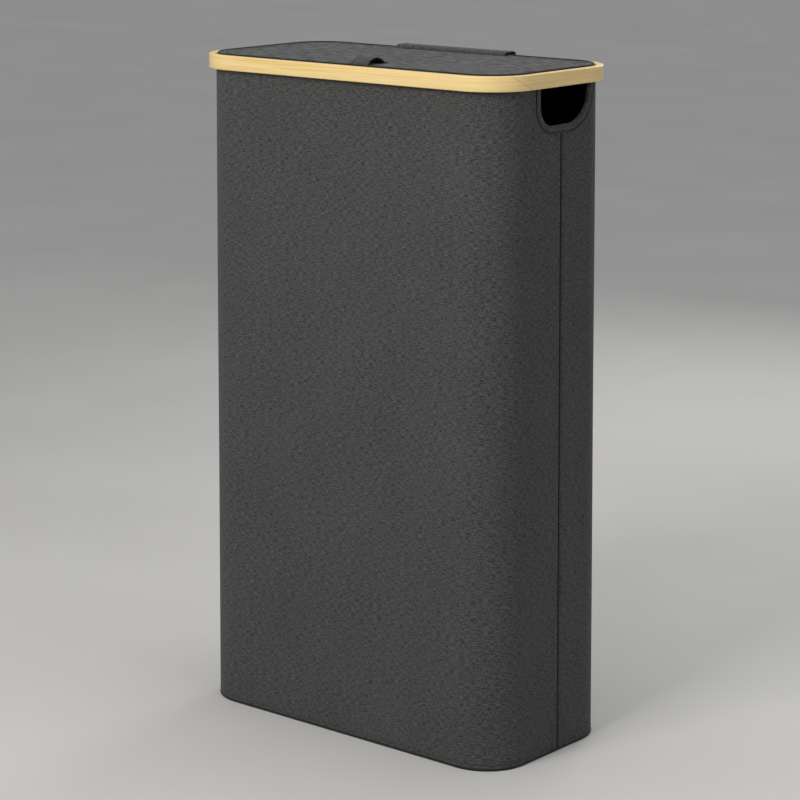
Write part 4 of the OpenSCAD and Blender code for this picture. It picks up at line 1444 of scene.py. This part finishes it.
on_binding = binding_proud - 0.05 * MM
body_rows, side_rows = [wall_row(6.5 * MM), tail_row(3 * MM)], []
for s in sides.values():
    body_rows.append(cutout_row(s, 5.2 * MM, -wall_t - binding_proud - 0.05 * MM))
    side_rows += [(seam_line(s, seam_y + 4.2 * MM, over_cloth, 8 * MM, 1 * MM, 30), False),
                  cutout_row(s, 6.4 * MM, on_binding), cutout_row(s, 1.2 * MM, on_binding)]
sew("body_stitches", body_rows, 11, "root")
for side, s in sides.items():
    # A black strip sunk a little under the cloth's face along each side seam: painted shade, which darkens
    # the seam's groove the way its shadow would.
    groove = seam_line(s, seam_y, -0.35 * MM, 6 * MM, 0.5 * MM, 40)
    outward = np.tile([s, 0, 0], (len(groove), 1))
    bead = strap(f"{side}_seam_bead", groove, outward, 1.9 * MM, 1.1 * MM, 0.5 * MM, across=2)
    dress(bead, tape_black, "root", slot="trim_tape")
sew("side_stitches", side_rows, 17, "root", pitch=2.6 * MM, thread=0.6 * MM)


# %% Rows on the lid and the flap
def loop_rows():
    """Two rows across each end of the finger loop, and one along each of its edges."""
    rows = []
    xs = np.linspace(loop_low.x + 2 * MM, loop_high.x - 2 * MM, 6)
    for off in (-3.4 * MM, -1 * MM, 1 * MM, 3.4 * MM):
        y = loop_mid + math.copysign(loop_half, off) + off
        rows.append((np.array([(x, y, lid_top + strap_t + over_cloth) for x in xs]), False))
    for x in (loop_low.x + 1.8 * MM, loop_high.x - 1.8 * MM):
        rows.append((raised(path, [1, 0, 0], strap_t / 2 + 0.08 * MM, x), False))
    return rows


def raised(line, sideways, lift, x):
    """A copy of a strap's path, lifted to its outer face and moved to a place across it."""
    up = face_dirs(line, sideways)
    middle = up[len(up) // 2]
    row = line + up * (1 if middle[2] + middle[1] > 0 else -1) * lift
    row[:, 0] = x
    return row


def flap_edge_rows(line):
    """A row along each edge of a fold of the flap."""
    return [(raised(line, [-1, 0, 0], half_t + 0.08 * MM, flap_mid_x + s * (flap_wide / 2 - 3 * MM)), False)
            for s in (-1, 1)]


lid_row = (ring_points(lid_core, lid_arrow, lid_r - border, lid_top - 0.3 * MM), True)
foot_row = (np.array([(x, (foot_low.y + foot_high.y) / 2 + 1 * MM, foot_high.z + over_cloth)
                      for x in np.linspace(foot_low.x + 3 * MM, foot_high.x - 3 * MM, 10)]), False)
sew("lid_stitches", [lid_row, foot_row, *loop_rows()], 12, "lid", pitch=3 * MM, thread=0.55 * MM)
front_stitches = sew("flap_front_stitches", flap_edge_rows(front_path), 13, None)
rear_stitches = sew("flap_rear_stitches", flap_edge_rows(rear_path), 14, None)
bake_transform(front_stitches)
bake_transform(rear_stitches)


# %% Rows on the bags and their handles
def band_rows(s):
    """Two rows round a bag's band, each on both faces."""
    edge, arrow = bag_stations(6 * MM)
    return [(np.column_stack([(edge + arrow * lift) * [s, 1], np.full(len(edge), z)]), True)
            for z in (bag_top - 2.5 * MM, bag_top - 22.5 * MM)
            for lift in (band_lift + 0.69 * MM, -bag_t - 0.1 * MM)]


sew("bag_stitches", band_rows(1) + band_rows(-1), 15, "root")
for name, line in handle_paths.items():
    t = np.gradient(line, axis=0)
    across = np.cross(t / np.linalg.norm(t, axis=1)[:, None], [0, 1, 0])
    rows = [(line + across * off + [0, lift, 0], False)
            for lift in (-0.88 * MM, 0.88 * MM) for off in (-6.5 * MM, 6.5 * MM)]
    sew(f"{name}_stitches", rows, 16, name)

# %% [markdown]
# ## Screws
# Eight screws clamp the walls between the hoop and the bamboo. Only their heads show. One head with a
# cross recess is modelled, and a second tree sets it on each screw's point, turned to look inwards.

# %% One screw
def screw_shape():
    """A domed head on a short shank, from a square grid bent into a disc, so that the cross is crisp."""
    n, head_r, head_h, shank_r, shank_end = 16, 3 * MM, 1.4 * MM, 1.5 * MM, -10.2 * MM
    cross_w, cross_reach, cross_depth = 0.14, 0.6, 0.75 * MM
    grid = np.linspace(-1, 1, n + 1)
    verts, faces = [], []
    for a in grid:
        for b in grid:
            x, y = a * math.sqrt(1 - b * b / 2), b * math.sqrt(1 - a * a / 2)
            z = head_h * (1 - 0.55 * math.hypot(x, y) ** 2.4)
            if min(abs(a), abs(b)) < cross_w and max(abs(a), abs(b)) < cross_reach:
                z -= cross_depth
            verts.append((x * head_r, y * head_r, z))
    for i in range(n):
        for j in range(n):
            k = i * (n + 1) + j
            faces.append([k, k + n + 1, k + n + 2, k + 1])
    rim_ids = [i * (n + 1) for i in range(n + 1)] + [n * (n + 1) + j for j in range(1, n + 1)]
    rim_ids += [i * (n + 1) + n for i in range(n - 1, -1, -1)] + list(range(n - 1, 0, -1))
    last, m = rim_ids, len(rim_ids)
    for radius, z in ((head_r, 0.0), (shank_r, 0.0), (shank_r, shank_end)):
        ids = []
        for k in rim_ids:
            x, y, _ = verts[k]
            d = math.hypot(x, y)
            ids.append(len(verts))
            verts.append((x / d * radius, y / d * radius, z))
        faces += [[last[k], last[(k + 1) % m], ids[(k + 1) % m], ids[k]] for k in range(m)]
        last = ids
    faces.append(last[::-1])
    return new_piece("one_screw", verts, faces, sharp=30)


def placing_tree():
    """Puts a copy of one object on each point, turned to the point's own aim."""
    tree = new_tree("placed_screws", {"Places": "Geometry", "Screw": "Object", "Size": "Float",
                                      "Finish": "Material"}, "Screws")
    n = add_nodes(tree, shape="GeometryNodeObjectInfo", points="GeometryNodeMeshToPoints",
                  aim="GeometryNodeInputNamedAttribute", turn="FunctionNodeAlignRotationToVector",
                  put="GeometryNodeInstanceOnPoints", real="GeometryNodeRealizeInstances",
                  paint="GeometryNodeSetMaterial")
    n["aim"].data_type, n["turn"].axis = "FLOAT_VECTOR", "Z"
    n["aim"].inputs["Name"].default_value = "aim"
    wire(tree, n, "source.Places > points.Mesh", "source.Screw > shape.Object", "aim.Attribute > turn.Vector",
         "points.Points > put.Points", "shape.Geometry > put.Instance", "turn.0 > put.Rotation",
         "source.Size > put.Scale", "put.Instances > real.Geometry", "real.Geometry > paint.Geometry",
         "source.Finish > paint.Material", "paint.Geometry > result.Screws")
    return tree


# %% Screws in place
inside = rim_t + wall_t + 3 * MM
screw_z = (neck_z + wall_top) / 2
places, aims = [], []
for s in (-1, 1):
    for x in (-120 * MM, 0, 120 * MM):
        places.append((x, s * (rim_high.y - inside), screw_z))
        aims.append((0, -s, 0))
    places.append((s * (rim_high.x - inside), 0, screw_z))
    aims.append((-s, 0, 0))
one_screw = screw_shape()
screws = with_tree("hoop_screw_set", [[p] for p in places], placing_tree(), [False] * len(places),
                   {"aim": aims}, Screw=one_screw, Size=1.0, Finish=screw_metal)
bpy.data.objects.remove(one_screw)
bpy.data.objects.remove(cutter)
dress(screws, screw_metal, "root", "hoop_screws", slot="screw_steel")
print("screws", len(places), "faces", len(screws.data.polygons))

# %% [markdown]
# ## Parts that keep their CAD shape
# The hoop, the poles, their cups and the boards are right as they are, so they stay, with a finish of
# their own.

# %% Finishes on the CAD parts
kept = {"clamp_hoop": black_plastic, "pole_foot_cups": black_plastic, "front_board": sheet_grey,
        "rear_board": sheet_grey, "lid_board": fibreboard, "front_right_pole": tube_metal,
        "front_left_pole": tube_metal, "rear_right_pole": tube_metal, "rear_left_pole": tube_metal}
for name, finish in kept.items():
    nodes[name].data.materials.clear()
    nodes[name].data.materials.append(finish)
print("kept CAD parts:", len(kept))

# %% [markdown]
# ## Floor, light and camera
# A pale floor and large soft lights show the dark cloth without glare. The main light comes from the
# front, a little above the lid, so the front is lighter than the sides, and the sky is brightest overhead.

# %% Floor and world
def plain_floor():
    """A pale, matt floor with a faint change of tone."""
    m = shader("pale_floor", roughness=0.7)
    tone = grain(m, object_place(m), 3.0, 3.0)
    return finish_with(m, ramp(m, tone, (0.3, (0.66, 0.645, 0.62)), (0.7, (0.70, 0.685, 0.66))))

reach = 20
floor_corners = [(-reach, -reach, 0), (reach, -reach, 0), (reach, reach, 0), (-reach, reach, 0)]
floor = new_piece("studio_floor", floor_corners, [(0, 1, 2, 3)])
floor.data.materials.append(plain_floor())
world = bpy.data.worlds.new("studio")
bpy.context.scene.world = world
world.use_nodes = True
background = world.node_tree.nodes["Background"]
background.inputs["Color"].default_value = (0.95, 0.97, 1.0, 1)
low_sky, sky_gain = 0.16, 0.50
sky = make(world, "ShaderNodeTexCoord").outputs["Generated"]
height = calc(world, "MAXIMUM", axes(world, sky)[2], 0.0)
glow = calc(world, "MULTIPLY_ADD", calc(world, "POWER", height, 2.0), sky_gain, low_sky)
world.node_tree.links.new(glow, background.inputs["Strength"])
bpy.context.scene.view_settings.view_transform = "Standard"


# %% Lights
def soft_light(name, place, target, size, power, colour=(1, 1, 1)):
    """A square lamp that looks at a target and doesn't show itself."""
    data = bpy.data.lights.new(name, "AREA")
    data.shape, data.size, data.energy, data.color = "SQUARE", size, power, colour
    lamp = in_scene(name, data)
    lamp.location = place
    lamp.visible_camera = False
    lamp.rotation_euler = (Vector(target) - Vector(place)).to_track_quat("-Z", "Y").to_euler()


soft_light("key_light", (0.05, -1.6, 1.5), (0, 0, 0.5), 0.8, 20, (1, 0.99, 0.97))
soft_light("top_light", (0.05, 0.15, 1.75), (0, 0, 0.7), 0.6, 2.8)
soft_light("back_light", (-0.4, 1.9, 1.2), (0, 0, 0.4), 0.9, 8)
soft_light("side_light", (1.3, -0.1, 1.15), (0, 0, 0.65), 0.5, 1.7)

# %% Camera
azimuth, pitch_down, distance, eye = 0.6991, 0.2245, 2.6903963, 0.9567065
yaw = azimuth + 0.0007
frame_width, focal, sensor = 800, 2629.6262, 36
camera = in_scene("camera", bpy.data.cameras.new("camera"))
camera.location = (math.sin(azimuth) * distance, -math.cos(azimuth) * distance, eye)
flat_ahead = math.cos(pitch_down)
ahead = Vector((-math.sin(yaw) * flat_ahead, math.cos(yaw) * flat_ahead, -math.sin(pitch_down)))
camera.rotation_euler = ahead.to_track_quat("-Z", "Y").to_euler()
camera.data.sensor_width = sensor
camera.data.lens = focal / frame_width * sensor
bpy.context.scene.camera = camera
